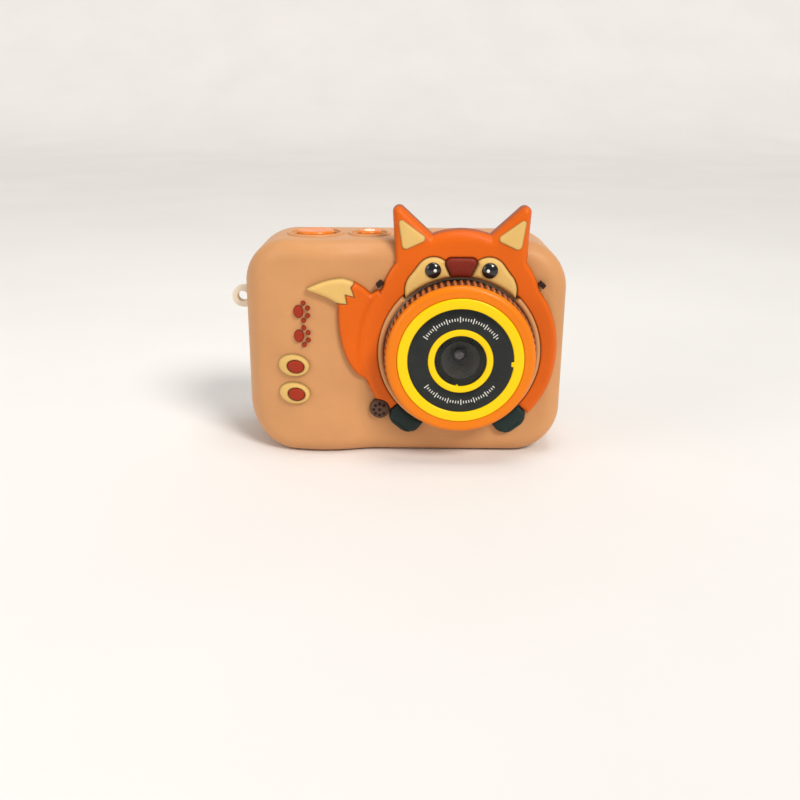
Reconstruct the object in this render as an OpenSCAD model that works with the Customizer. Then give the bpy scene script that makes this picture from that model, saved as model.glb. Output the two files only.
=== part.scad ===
// Kids digital camera with a fox figure on a soft silicone sleeve.
// Frame: millimetres, +Z up, the lens looks along -Y and +X is to the right of
// someone facing the lens. The origin is the centre of the flat base.

/* [Body] */
// Width of the sleeve, end to end
body_w = 94; // [88:1:116]
// Height of the sleeve above its base
body_h = 64; // [62:1:80]
// Depth of the sleeve, flat front to rear lip
body_d = 31; // [29:0.5:38]
// Corner radius of the front outline
corner_r = 14; // [10:0.5:16]
// Bevel along the front and rear edges
edge_bevel = 3; // [1.5:0.5:4]

/* [Sleeve] */
// Thickness of the silicone
sleeve_t = 2; // [1.6:0.1:2.6]
// Gap between the sleeve and the housings
sleeve_gap = 0.15; // [0.05:0.05:0.3]
// Width of the lip that wraps over the rear edge
rear_lip = 5; // [4:0.5:6]
// Radial gap between the lens barrel and the sleeve's collar
collar_gap = 0.5; // [0.4:0.1:1.5]
// Wall of the collar round the lens
collar_wall = 1.7; // [1.2:0.1:2.5]
// Height of the collar above the flat front
collar_rise = 2.5; // [2.3:0.1:4]

/* [Grip] */
// Distance of the grip's crest from the left end
grip_inset = 23; // [20:1:27]
// Height of the crest above the flat front
grip_rise = 2.2; // [1:0.1:4]
// How far the left end falls back from the flat front
grip_drop = 5.5; // [3:0.5:7]

/* [Lens] */
// Distance of the lens axis from the right end
lens_inset = 31; // [29:0.5:34]
// Height of the lens axis above the base
lens_z = 32; // [31:0.5:36]
// Radius of the front ring
barrel_r = 21.4; // [20:0.1:23]
// How far the lens stands out of the flat front
barrel_rise = 10.5; // [9:0.5:14]
// Width of the orange front ring
front_ring_w = 3.4; // [2.5:0.1:4]
// Width of the yellow bezel
bezel_w = 3; // [2:0.1:3.5]
// Outer radius of the narrow yellow ring
inner_ring_r = 9.25; // [8:0.05:10.5]
// Width of the narrow yellow ring
inner_ring_w = 1.85; // [1:0.05:2.2]
// Radius of the funnel's mouth
funnel_r = 5.45; // [4.5:0.05:6]
// Radius of the objective lens
objective_r = 2.1; // [1.6:0.1:2.5]
// Number of ribs on the knurled ring
rib_count = 72; // [48:4:96]

/* [Fox figure] */
// Thickness of the figure on the sleeve
figure_t = 2.2; // [1.5:0.1:2.3]
// Radius of the belly
belly_r = 28.6; // [27.5:0.1:30]
// Radius of the head
head_r = 23.5; // [22:0.1:25]
// Height of the head's centre above the lens axis
head_rise = 12; // [10:0.5:14]
// Height of the ear tips above the top of the sleeve
ear_rise = 10; // [7:0.5:14]
// Depth of the head and ears, front to rear
ear_depth = 9; // [7:0.5:12]
// Radius of each eye
eye_r = 2.2; // [1.8:0.1:2.6]

/* [Housing] */
// Wall of the plastic housings
wall = 1.8; // [1.5:0.1:2.2]
// Radius of the screw posts
post_r = 3.4; // [3.1:0.1:3.6]
// Distance of each screw from the ends, top and base of the sleeve
screw_inset = 9.2; // [9:0.1:10]
// Shank radius of the housing screws
screw_r = 1.3; // [1.1:0.05:1.5]
// Radius of the hole in the strap lug
lug_bore_r = 1.6; // [1.2:0.1:2]

/* [Screen and board] */
// Width of the screen window
window_w = 50; // [48:0.5:51]
// Height of the screen window
window_h = 40; // [39:0.5:41]
// Thickness of the circuit board
board_t = 1.2; // [0.8:0.1:1.6]
// Room between the board and the rear wall
key_room = 6.35; // [6.2:0.05:7.5]

/* [Keys] */
// Travel of the rear keys
key_travel = 0.6; // [0.3:0.05:0.8]
// Height of the rear keys above the rear wall
key_rise = 1.4; // [1:0.1:2]
// Gap round each key in its hole
key_gap = 0.3; // [0.2:0.05:0.5]
// Distance of the arrow keys from the centre key
pad_pitch = 8.2; // [8:0.1:9]
// Travel of the top buttons
button_travel = 0.8; // [0.4:0.1:1]
// Radius of the shutter button
shutter_r = 5.5; // [4.5:0.1:6.5]
// Radius of the power button
power_r = 3.5; // [3:0.1:4]

/* [Memory card] */
// Length of the memory card
card_l = 15; // [14:0.5:16]
// Width of the memory card
card_w = 11; // [10:0.5:12]
// Thickness of the memory card
card_t = 0.9; // [0.7:0.1:1]

/* [Hidden] */
$fn = 96;
EPS = 0.01;
BIG = 200;

// Ends, faces and layers of the body, front to rear
left_x = -body_w / 2;
right_x = body_w / 2;
front_y = -body_d / 2;
back_y = body_d / 2;
skin = sleeve_t + sleeve_gap;
house_front = front_y + skin;
house_back = back_y - skin;
inner_front = house_front + wall;
inner_back = house_back - wall;
board_back = inner_back - key_room;
board_front = board_back - board_t;
split_y = board_back + 1.8;

// Grip: one large cylinder that meets the left end set back by grip_drop
grip_fall = grip_rise + grip_drop;
grip_R = (grip_inset * grip_inset + grip_fall * grip_fall) / (2 * grip_fall);
grip_x = left_x + grip_inset;
grip_cy = front_y - grip_rise + grip_R;
end_bevel = 2;

// Lens stack
lens_x = right_x - lens_inset;
lens_y = front_y - barrel_rise;
bezel_r = barrel_r - front_ring_w;
plate_r = bezel_r - bezel_w;
tube_r = barrel_r - 1.9;
tube_wall = 1.9;
flange_r = barrel_r - 0.4;
hole_r = barrel_r + collar_gap;
collar_r = hole_r + collar_wall;
plate_t = 1.4;
hood_y = lens_y + plate_t + 0.2;
hood_flange_t = 1.2;
flange_y = lens_y + 9;
holder_r = 3.4;
holder_front = lens_y + 7.3;
sensor_t = 1;

// Fox figure; roof is the top of the sleeve above the lens axis
roof = body_h - lens_z;
mask_t = figure_t + 0.5;
ball_place = [-23.1, -17.4];

// Keys
keys_x = left_x + 20;
keys_z = 30;
top_keys_z = 47.5;
top_keys_dx = 6;
key_r = 3.2;
key_flange = 0.6;
button_flange = 0.9;
flange_t = 0.8;
switch_t = 1.6;
plunger_t = 0.6;
stem_r = 1.2;
shutter_x = left_x + 20.5;
power_x = shutter_x + 16;
top_inner = body_h - skin - wall;
top_rise = 1.2;
board_inset = skin + wall + 0.55;
board_top = body_h - board_inset;
button_switch_top = board_top - 1.6;

// Each rear key: its place about the pad's centre, and its shape
rear_keys = [
    [[-top_keys_dx, top_keys_z - keys_z], "round"], [[top_keys_dx, top_keys_z - keys_z], "round"],
    [[0, pad_pitch], "square"], [[0, -pad_pitch], "square"],
    [[-pad_pitch, 0], "square"], [[pad_pitch, 0], "square"], [[0, 0], "round"]
];

// Strap lug on the left end
lug_z = 45;
lug_x = left_x - 2;
lug_t = 3;
lug_r = 3.2;

// Battery on the front of the board
battery_w = 30;
battery_h = 38;
battery_t = 6.6;
pad_t = 0.4;
battery_x = left_x + 31;
battery_z = 29;

// Sound
speaker_x = left_x + 24.5;
speaker_z = 12;
mic_x = right_x - 20;
mic_z = 9;

// Ports on the right end
port_end = right_x - skin;
usb_z = 22;
card_z = 40;
card_y = board_front - 1.05;
socket_depth = 1.9;
socket_len = card_l + 0.2;
slot_gap = 0.2;

// Screen
window_x = right_x - 9 - window_w / 2;
window_z = 32;
window_t = 1;
lcd_w = window_w - 4;
lcd_h = window_h - 4;
lcd_t = 2.6;

// ---------- shared shapes ----------

// Rectangle with round corners, centred
module rounded_rect(w, h, r) {
    square([w, h - 2 * r], center = true);
    square([w - 2 * r, h], center = true);
    for (sx = [-1, 1], sy = [-1, 1])
        translate([sx * (w / 2 - r), sy * (h / 2 - r)]) circle(r);
}

// Points of a cubic curve, without its last point
function curve(p, q, r, s, n = 8) = [
    for (i = [0:n - 1]) let (t = i / n, u = 1 - t)
        u * u * u * p + 3 * u * u * t * q + 3 * u * t * t * r + t * t * t * s
];

// Points of an ellipse
function oval(a, b, n = 36) = [for (i = [0:n - 1]) [a * cos(360 * i / n), b * sin(360 * i / n)]];

// Stands a drawing (x, z) up and gives it the depth y0 to y1
module upright(y0, y1) {
    translate([0, y1, 0]) rotate([90, 0, 0]) linear_extrude(y1 - y0) children();
}

// The same, drawn about the lens axis
module at_lens(y0, y1) {
    translate([lens_x, 0, lens_z]) upright(y0, y1) children();
}

// Ring or disc turned about the lens axis from a profile of (radius, y)
module lens_turned(points) {
    translate([lens_x, 0, lens_z]) rotate([-90, 0, 0]) rotate_extrude() polygon(points);
}

// Plain ring about the lens axis
module lens_ring(outer, inner, y0, y1) {
    lens_turned([[inner, y0], [outer, y0], [outer, y1], [inner, y1]]);
}

// Straight round hole or pin along Y
module pin_y(x, z, r, y0, y1) {
    translate([x, y0, z]) rotate([-90, 0, 0]) cylinder(r = r, h = y1 - y0);
}

// Straight round hole or pin along Z
module pin_z(x, y, r, z0, z1) {
    translate([x, y, z0]) cylinder(r = r, h = z1 - z0);
}

module box(x0, x1, y0, y1, z0, z1) {
    translate([x0, y0, z0]) cube([x1 - x0, y1 - y0, z1 - z0]);
}

// Plan of the body (x, y), grown by g: flat front, bulged grip, bevelled ends
module plan(g) {
    b = edge_bevel;
    x0 = left_x - g;
    x1 = right_x + g;
    y0 = front_y - g;
    y1 = back_y + g;
    crest_y = y0 - grip_rise - 1;
    reach = grip_inset + g;
    left_y = grip_cy - sqrt((grip_R + g) * (grip_R + g) - reach * reach) + end_bevel;
    intersection() {
        union() {
            translate([grip_x, grip_cy]) circle(grip_R + g, $fn = 180);
            translate([grip_x, y0]) square([x1 - grip_x, y1 - y0]);
        }
        polygon([
            [x0, left_y], [x0 + (left_y - crest_y) / 2.5, crest_y], [x1 - b, crest_y], [x1 - b, y0],
            [x1, y0 + b], [x1, y1 - b], [x1 - b, y1], [x0 + b, y1], [x0, y1 - b]
        ]);
    }
}

// Side view of the body (y, z), grown by g: bevelled along every long edge
module side(g) {
    b = edge_bevel;
    y0 = front_y - grip_rise - g;
    y1 = back_y + g;
    z0 = -g;
    z1 = body_h + g;
    polygon([
        [y0 + b, z0], [y1 - b, z0], [y1, z0 + b], [y1, z1 - b],
        [y1 - b, z1], [y0 + b, z1], [y0, z1 - b - 1], [y0, z0 + b + 1]
    ]);
}

// Everything behind the body's front surface, moved forward by g
module front_block(g) {
    translate([0, 0, -BIG / 4]) linear_extrude(BIG) plan(g);
}

// The whole body as one solid, grown by g
module body_solid(g) {
    intersection() {
        translate([0, 0, body_h / 2])
            upright(front_y - grip_rise - g - 1, back_y + g + 1)
                rounded_rect(body_w + 2 * g, body_h + 2 * g, corner_r + g);
        translate([0, 0, -g]) linear_extrude(body_h + 2 * g) plan(g);
        translate([left_x - g - 1, 0, 0]) rotate([90, 0, 90]) linear_extrude(body_w + 2 * g + 2) side(g);
    }
}

// Layer of thickness t that follows the body's front surface under a drawing
module relief(t, under = 0) {
    difference() {
        intersection() {
            upright(front_y - 12, front_y + 12) children();
            front_block(t);
        }
        front_block(under);
    }
}

// ---------- fox figure, drawn about the lens axis ----------

module tail_shape() {
    polygon(concat(
        curve([-25.6, 17.3], [-27.3, 19], [-29.8, 21.3], [-33.5, 22]),
        curve([-33.5, 22], [-37.5, 22.1], [-41, 20.6], [-44.2, 18.9]),
        curve([-44.2, 18.9], [-41, 17.2], [-37.5, 17], [-34.9, 14.2]),
        curve([-34.9, 14.2], [-35.4, 6], [-33.5, -4.5], [-27.8, -7.9]),
        curve([-27.8, -7.9], [-25.5, -9.5], [-25, -14], [-20, -16.8]),
        [[-15, 0], [-23.2, 18.6]]
    ));
}

// Region of the tail left of its zigzag edge
module tail_tip_region() {
    polygon([
        [-48, 30], [-31.5, 24], [-30.3, 20.4], [-31.2, 19.4], [-30.2, 16.5],
        [-32.8, 17.4], [-32.3, 14.6], [-35.6, 15], [-48, 8]
    ]);
}

// Belly: a disc that ends at the boots
module belly_shape() {
    difference() {
        translate([0, 0.9]) circle(belly_r);
        polygon([[0, 0], [40, -35.4], [-40, -35.4]]);
    }
}

// Pointed ear on side s, standing on the top of the sleeve
module ear_shape(s) {
    hull() {
        translate([s * 17.6, roof + ear_rise - 1.8]) circle(1.8, $fn = 32);
        translate([s * 15.6, roof - 6]) circle(3, $fn = 32);
        translate([s * 8, roof - 1.5]) circle(2.5, $fn = 32);
    }
}

// Head: a disc carried up past the top of the sleeve
module head_shape() {
    hull() {
        translate([0, head_rise]) circle(head_r);
        translate([0, roof - 8]) circle(11.5);
    }
}

// Both cheeks with the patches round the eyes
module mask_shape() {
    for (s = [-1, 1]) {
        translate([s * 9.3, 18.5]) circle(6.75);
        translate([s * 6.5, 20]) circle(5);
        translate([s * 7.8, 23]) circle(5.2);
    }
}

module nose_shape() {
    hull() {
        for (s = [-1, 1]) translate([s * 2.9, 26.4]) circle(1.6, $fn = 32);
        translate([0, 20.8]) circle(1.8, $fn = 32);
    }
}

module face_region() {
    mask_shape();
    nose_shape();
}

// Boot on side s: a rounded block that comes out from under the collar
module boot_shape(s) {
    mirror([s < 0 ? 1 : 0, 0]) rotate(-52) translate([24.8, -0.3]) rounded_rect(9, 10.2, 3.8);
}

module ball_shape() {
    translate(ball_place) circle(3.05);
}

// Keeps a drawing clear of the collar
module off_collar() {
    difference() {
        children();
        circle(collar_r);
    }
}

module silicone_sleeve() {
    lip_w = body_w - 2 * rear_lip;
    lip_h = body_h - 2 * rear_lip;
    color("burlywood") difference() {
        union() {
            body_solid(0);
            lens_ring(collar_r, hole_r, front_y - collar_rise, front_y + EPS);
        }
        body_solid(-sleeve_t);
        pin_y(lens_x, lens_z, hole_r, front_y - 1, front_y + sleeve_t + 1);
        at_lens(front_y - collar_rise - 1, front_y) face_region();
        translate([0, 0, body_h / 2])
            upright(back_y - sleeve_t - 1, back_y + 1) rounded_rect(lip_w, lip_h, corner_r - rear_lip);
        pin_z(shutter_x, 0, shutter_r + 1.2, body_h - sleeve_t - 1, body_h + 1);
        pin_z(power_x, 0, power_r + 1.2, body_h - sleeve_t - 1, body_h + 1);
        translate([right_x - sleeve_t - 1, board_front - 1.5, (usb_z + card_z) / 2])
            rotate([90, 0, 90]) linear_extrude(sleeve_t + 2)
                rounded_rect(8, card_z - usb_z + card_w + 5, 2.5);
        lug_slot(sleeve_gap);
    }
}

module fox_body() {
    color("darkorange") difference() {
        union() {
            relief(figure_t) translate([lens_x, lens_z]) {
                tail_shape();
                belly_shape();
            }
            at_lens(front_y - figure_t, front_y - figure_t + ear_depth) {
                head_shape();
                ear_shape(-1);
                ear_shape(1);
            }
        }
        body_solid(0);
        at_lens(front_y - 12, front_y + 12) circle(collar_r);
        at_lens(front_y - 12, front_y + 1) face_region();
        at_lens(front_y - 12, front_y + 12) tail_tip_region();
        at_lens(front_y - 12, front_y + 1) cheek_tab_shape();
        at_lens(front_y - 12, front_y + 1) ball_shape();
        inner_ear_solid(0);
    }
}

module tail_tip() {
    color("wheat") relief(figure_t) translate([lens_x, lens_z]) intersection() {
        tail_shape();
        tail_tip_region();
    }
}

module face_mask() {
    color("wheat") difference() {
        at_lens(front_y - mask_t, front_y) mask_shape();
        pin_y(lens_x, lens_z, hole_r, front_y - 5, front_y + 1);
        at_lens(front_y - mask_t - 1, front_y + 1) nose_shape();
    }
}

module fox_nose() {
    color("sienna") difference() {
        at_lens(front_y - mask_t - 0.8, front_y) nose_shape();
        pin_y(lens_x, lens_z, hole_r, front_y - 9, front_y + 1);
    }
}

module eye_at(s) {
    translate([lens_x + s * 8, front_y - mask_t, lens_z + 24.4]) rotate([90, 0, 0]) children();
}

module fox_eyes() {
    color("black") for (s = [-1, 1]) eye_at(s) intersection() {
        cylinder(r = eye_r, h = 2);
        translate([0, 0, 1.2 - 3.4]) sphere(3.4);
    }
}

module eye_glints() {
    color("white") for (s = [-1, 1]) eye_at(s) difference() {
        translate([-s * 0.55, 0.1, 0]) cylinder(r = 0.45, h = 1.35, $fn = 24);
        translate([0, 0, 1.2 - 3.4]) sphere(3.4);
    }
}

// Ear inlays, set in shallow pockets; g is the gap to the pocket
module inner_ear_solid(g) {
    at_lens(front_y - figure_t - 0.4, front_y - figure_t + 1.2 + g) {
        ear_inlay(-1);
        ear_inlay(1);
    }
}

module ear_inlay(s) {
    hull() {
        translate([s * 16.9, roof + ear_rise - 4.6]) circle(0.9, $fn = 32);
        translate([s * 15.6, roof - 0.5]) circle(1.3, $fn = 32);
        translate([s * 11.4, roof + 1.2]) circle(1.1, $fn = 32);
    }
}

module inner_ears() {
    color("wheat") inner_ear_solid(0);
}

module cheek_tab_shape() {
    for (s = [-1, 1]) translate([s * 23.1, 20.2]) rotate(s * -40) square([2, 1.4], center = true);
}

module cheek_tabs() {
    color("saddlebrown") at_lens(front_y - figure_t - 0.2, front_y) cheek_tab_shape();
}

module fox_boots() {
    color("darkslategray") relief(figure_t - 0.3) translate([lens_x, lens_z]) difference() {
        off_collar() {
            boot_shape(-1);
            boot_shape(1);
        }
        belly_shape();
        tail_shape();
        ball_shape();
    }
}

module spotted_ball() {
    color("rosybrown") difference() {
        at_lens(front_y - figure_t - 0.2, front_y) ball_shape();
        ball_spots_solid();
    }
}

module ball_spots_solid() {
    at_lens(front_y - figure_t - 0.35, front_y - figure_t + 0.4) translate(ball_place) {
        circle(0.5, $fn = 24);
        for (a = [45:90:315]) rotate(a) translate([1.75, 0]) circle(0.5, $fn = 24);
    }
}

module ball_spots() {
    color("saddlebrown") ball_spots_solid();
}

// Two ovals stacked on the grip
module pad_places() {
    for (z = [-4, -12.5]) translate([left_x + 14.8, lens_z + z]) children();
}

module grip_pads() {
    color("wheat") difference() {
        relief(1.4) pad_places() polygon(oval(4.8, 3.4));
        pad_centre_solid();
    }
}

module pad_centre_solid() {
    relief(1.8, 0.6) pad_places() translate([0.6, -0.2]) polygon(oval(2.6, 2));
}

module grip_pad_centres() {
    color("firebrick") pad_centre_solid();
}

// Two paw prints, one above the other
module paw_shape() {
    polygon(oval(1.9, 1.5, 24));
    for (a = [25, 67, 113, 155]) translate([2.8 * cos(a), 0.4 + 2.5 * sin(a)]) circle(0.72, $fn = 24);
}

module grip_motif() {
    color("indianred") relief(1) for (z = [4.9, 12.1])
        translate([left_x + 16.6, lens_z + z]) rotate(-90) paw_shape();
}

// ---------- housings ----------

// Where the four housing screws stand
module screw_places() {
    for (x = [left_x + screw_inset, right_x - screw_inset], z = [screw_inset, body_h - screw_inset])
        translate([x, 0, z]) children();
}

module post(r, y0, y1) {
    translate([0, y0, 0]) rotate([-90, 0, 0]) cylinder(r = r, h = y1 - y0);
}

// Region of the body in front of (or behind) the line where the housings part
module part_line(front) {
    y0 = front ? front_y - 20 : split_y;
    y1 = front ? split_y : back_y + 20;
    box(left_x - 10, right_x + 10, y0, y1, -10, body_h + 10);
}

module front_housing() {
    head_y = house_front + 6;
    color("gainsboro") difference() {
        union() {
            difference() {
                body_solid(-skin);
                body_solid(-skin - wall);
            }
            intersection() {
                screw_places() post(post_r, inner_front - 3, board_front);
                body_solid(-skin);
            }
        }
        part_line(false);
        screw_places() post(2.8, house_front - 5, head_y);
        screw_places() post(screw_r + 0.3, head_y - 1, board_front + 1);
        pin_y(lens_x, lens_z, holder_r + 0.6, house_front - 1, inner_front + 1);
        barrel_screw_places() post(1.3, house_front - 1, inner_front + 1);
        pin_z(shutter_x, 0, shutter_r + key_gap, top_inner - 1, body_h);
        pin_z(power_x, 0, power_r + key_gap, top_inner - 1, body_h);
        box(port_end - wall - 1, port_end + 1, board_front - 3, board_front, usb_z - 4.2, usb_z + 4.2);
        card_slot(slot_gap + 0.1);
        lug_slot(0);
    }
}

module rear_housing() {
    color("gainsboro") difference() {
        union() {
            difference() {
                body_solid(-skin);
                body_solid(-skin - wall);
                part_line(true);
            }
            intersection() {
                screw_places() post(post_r, board_back, inner_back + 1);
                union() {
                    body_solid(-skin - wall - 0.1);
                    part_line(false);
                }
                body_solid(-skin);
            }
        }
        screw_places() post(screw_r + 0.02, board_back - 1, inner_back);
        translate([window_x, 0, window_z]) upright(house_back - window_t, house_back + 1)
            rounded_rect(window_w + 0.2, window_h + 0.2, 3.1);
        translate([window_x, 0, window_z]) upright(inner_back - 1, house_back)
            rounded_rect(window_w - 6, window_h - 7, 2);
        rear_key_places() upright(inner_back - 1, house_back + 1) key_outline($key, key_gap);
        for (i = [-2:2]) pin_y(speaker_x + 2.4 * i, speaker_z, 0.7, inner_back - 1, house_back + 1);
        pin_y(mic_x, mic_z, 0.6, inner_back - 1, house_back + 1);
    }
}

module housing_screws() {
    head_y = house_front + 6;
    color("silver") screw_places() difference() {
        union() {
            post(2.5, head_y - 1.6, head_y);
            post(screw_r, head_y - EPS, board_back + 4.5);
        }
        for (a = [0, 90]) rotate([0, a, 0])
            translate([-1.6, head_y - 2.6, -0.3]) cube([3.2, 1.8, 0.6]);
    }
}

// Slot for the strap lug in the left wall, grown by g
module lug_slot(g) {
    y = lug_t / 2 + g;
    box(left_x - 1, left_x + skin + wall + 1, -y, y, lug_z - lug_r - g, lug_z + lug_r + g);
}

module strap_lug() {
    inner_x = left_x + skin + wall;
    y = lug_t / 2;
    color("gainsboro") difference() {
        union() {
            pin_y(lug_x, lug_z, lug_r, -y, y);
            box(lug_x, inner_x + 1.2, -y, y, lug_z - lug_r, lug_z + lug_r);
            box(inner_x, inner_x + 1.2, -y - 1.5, y + 1.5, lug_z - lug_r - 1.3, lug_z + lug_r + 1.3);
        }
        pin_y(lug_x, lug_z, lug_bore_r, -y - 1, y + 1);
    }
}

// ---------- lens ----------

module barrel_screw_places() {
    for (a = [90, 210, 330])
        translate([lens_x + 17.6 * cos(a), 0, lens_z + 17.6 * sin(a)]) children();
}

module lens_barrel() {
    y0 = lens_y + 2.5;
    color("chocolate") difference() {
        lens_turned([
            [tube_r - tube_wall, y0], [tube_r, y0], [tube_r, flange_y], [flange_r, flange_y],
            [flange_r, house_front], [14, house_front], [14, flange_y], [tube_r - tube_wall, flange_y]
        ]);
        barrel_screw_places() post(0.82, house_front - 3.2, house_front + 1);
    }
}

module barrel_screws() {
    color("silver") barrel_screw_places() {
        post(0.8, house_front - 3, inner_front + EPS);
        post(1.7, inner_front, inner_front + 1.2);
    }
}

module knurled_ring() {
    y0 = lens_y + 2.5;
    pitch = 360 / rib_count;
    color("peru") {
        lens_ring(barrel_r - 0.45, tube_r + 0.05, y0, flange_y);
        translate([lens_x, 0, lens_z]) for (i = [0:rib_count - 1]) rotate([0, i * pitch, 0])
            translate([barrel_r - 0.8, y0 + 0.2, -0.45]) cube([0.9, flange_y - y0 - 0.4, 0.9]);
    }
}

module front_ring() {
    color("orange") lens_turned([
        [bezel_r + 0.05, lens_y + 0.3], [barrel_r - 1.6, lens_y + 0.4], [barrel_r - 0.5, lens_y + 0.9],
        [barrel_r, lens_y + 1.7], [barrel_r, lens_y + 2.5], [bezel_r + 0.05, lens_y + 2.5]
    ]);
}

module yellow_bezel() {
    skirt_r = tube_r - tube_wall - 0.05;
    color("gold") lens_turned([
        [plate_r + 0.05, lens_y + 0.15], [plate_r + 0.2, lens_y], [bezel_r - 0.3, lens_y],
        [bezel_r, lens_y + 0.3], [bezel_r, lens_y + 2.4], [skirt_r, lens_y + 2.4],
        [skirt_r, lens_y + 6], [skirt_r - 1.4, lens_y + 6], [skirt_r - 1.4, lens_y + plate_t + 0.2],
        [plate_r + 0.05, lens_y + plate_t + 0.2]
    ]);
}

module lens_plate() {
    color("black") lens_ring(plate_r, inner_ring_r + 0.05, lens_y + 0.2, hood_y);
}

module inner_yellow_ring() {
    inner = inner_ring_r - inner_ring_w;
    color("gold") lens_turned([
        [inner, lens_y + 0.2], [inner + 0.2, lens_y], [inner_ring_r - 0.2, lens_y],
        [inner_ring_r, lens_y + 0.2], [inner_ring_r, hood_y], [inner, hood_y]
    ]);
}

module lens_window() {
    color("lightcyan") pin_y(lens_x, lens_z, inner_ring_r - inner_ring_w - 0.05, lens_y + 0.5, hood_y);
}

// Black cup: a flange behind the plates, a funnel, and a tube over the lens holder
module lens_hood() {
    flange = tube_r - tube_wall - 1.5;
    back = flange_y + 2;
    color("dimgray") lens_turned([
        [funnel_r, hood_y], [flange, hood_y], [flange, hood_y + hood_flange_t],
        [7.2, hood_y + hood_flange_t], [7.2, back], [holder_r + 0.1, back],
        [holder_r + 0.1, holder_front], [objective_r + 0.6, holder_front - 0.1]
    ]);
}

module objective_lens() {
    color("lightblue") translate([lens_x, holder_front, lens_z]) rotate([90, 0, 0]) intersection() {
        cylinder(r = objective_r, h = 1.2);
        translate([0, 0, 0.9 - 3]) sphere(3);
    }
}

module camera_module() {
    color("dimgray") {
        pin_y(lens_x, lens_z, holder_r, holder_front, inner_front);
        box(lens_x - 5, lens_x + 5, inner_front, inner_front + sensor_t, lens_z - 5, lens_z + 5);
    }
}

// Flat cable: down behind the sensor, back to the board and down its face
module camera_ribbon() {
    y0 = inner_front + sensor_t;
    y1 = board_front;
    z0 = lens_z - 12;
    t = 0.3;
    color("darkgoldenrod") translate([lens_x - 3, 0, 0]) rotate([90, 0, 90]) linear_extrude(6) polygon([
        [y0, lens_z + 4], [y0, z0], [y1 - t, z0], [y1 - t, z0 - 5], [y1, z0 - 5], [y1, z0 + t],
        [y0 + t, z0 + t], [y0 + t, lens_z + 4]
    ]);
}

// ---------- electronics ----------

module main_board() {
    w = body_w - 2 * board_inset;
    h = body_h - 2 * board_inset;
    color("seagreen") difference() {
        translate([0, 0, body_h / 2]) upright(board_front, board_back)
            rounded_rect(w, h, corner_r - board_inset);
        screw_places() post(screw_r + 0.3, board_front - 1, board_back + 1);
        board_notch(shutter_x, shutter_r);
        board_notch(power_x, power_r);
    }
}

// Room in the board's top edge for a top button's flange and travel
module board_notch(x, r) {
    half = r + button_flange + 0.5;
    z0 = top_inner - 0.1 - flange_t - button_travel - 0.4;
    box(x - half, x + half, board_front - 1, board_back + 1, z0, body_h);
}

module battery() {
    y1 = board_front - pad_t;
    color("silver") translate([battery_x, 0, battery_z]) upright(y1 - battery_t, y1)
        rounded_rect(battery_w, battery_h, 1.5);
}

module battery_pad() {
    color("white") translate([battery_x, 0, battery_z]) upright(board_front - pad_t, board_front)
        rounded_rect(battery_w - 6, battery_h - 8, 1);
}

module battery_leads() {
    y = board_front - pad_t - battery_t / 2;
    z0 = battery_z + battery_h / 2;
    color("crimson") for (x = [battery_x + 8, battery_x + 11]) {
        pin_z(x, y, 0.5, z0, z0 + 2.5);
        translate([x, y, z0 + 2.5]) sphere(0.5, $fn = 24);
        pin_y(x, z0 + 2.5, 0.5, y, board_front);
    }
}

module lcd_module() {
    color("darkslategray") translate([window_x, 0, window_z])
        upright(inner_back - lcd_t - 0.1, inner_back - 0.1) square([lcd_w, lcd_h], center = true);
}

module lcd_cushion() {
    color("dimgray") translate([window_x, 0, window_z])
        upright(board_back, inner_back - lcd_t - 0.1) square([lcd_w - 6, lcd_h - 6], center = true);
}

// Flat cable: out of the screen's lower edge, back to the board and up its face
module lcd_ribbon() {
    y0 = board_back;
    y1 = inner_back - lcd_t + 0.6;
    top = window_z - lcd_h / 2;
    t = 0.3;
    x0 = window_x - 7;
    color("darkgoldenrod") translate([x0, 0, 0]) rotate([90, 0, 90]) linear_extrude(14) polygon([
        [y1, top], [y1, top - 1.6], [y0, top - 1.6], [y0, top + 1.5], [y0 + t, top + 1.5],
        [y0 + t, top - 1.6 + t], [y1 - t, top - 1.6 + t], [y1 - t, top]
    ]);
}

module screen_window() {
    color("lightcyan") translate([window_x, 0, window_z]) upright(house_back - window_t, house_back + 0.1)
        rounded_rect(window_w, window_h, 3);
}

module speaker() {
    color("dimgray") translate([speaker_x, 0, speaker_z]) upright(inner_back - 3.6, inner_back - 0.1)
        rounded_rect(15, 9, 2);
}

module microphone() {
    color("silver") pin_y(mic_x, mic_z, 2.2, board_back, board_back + 1.8);
}

// ---------- rear keys ----------

module key_outline(i, g) {
    if (rear_keys[i][1] == "round") circle(key_r + g);
    else rounded_rect(2 * (key_r + g), 2 * (key_r + g), 1.5 + g);
}

module rear_key_place(i) {
    translate([keys_x + rear_keys[i][0][0], 0, keys_z + rear_keys[i][0][1]]) children();
}

module rear_key_places() {
    for (i = [0:6]) rear_key_place(i) {
        $key = i;
        children();
    }
}

module rear_key(i) {
    switch_top = board_back + switch_t + plunger_t;
    color("orange") rear_key_place(i) {
        upright(inner_back - 0.1, house_back + key_rise) key_outline(i, 0);
        upright(inner_back - 0.1 - flange_t, inner_back - 0.1) key_outline(i, key_flange);
        post(stem_r, switch_top + key_travel + 0.15, inner_back - 0.1 - flange_t);
    }
}

module mode_key() { rear_key(0); }
module play_key() { rear_key(1); }
module up_key() { rear_key(2); }
module down_key() { rear_key(3); }
module left_key() { rear_key(4); }
module right_key() { rear_key(5); }
module ok_key() { rear_key(6); }

module key_switches() {
    color("silver") for (i = [0:6]) rear_key_place(i) {
        translate([0, board_back + switch_t / 2, 0]) cube([4.4, switch_t, 4.4], center = true);
        post(1, board_back + switch_t, board_back + switch_t + plunger_t);
    }
}

// ---------- top buttons ----------

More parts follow.
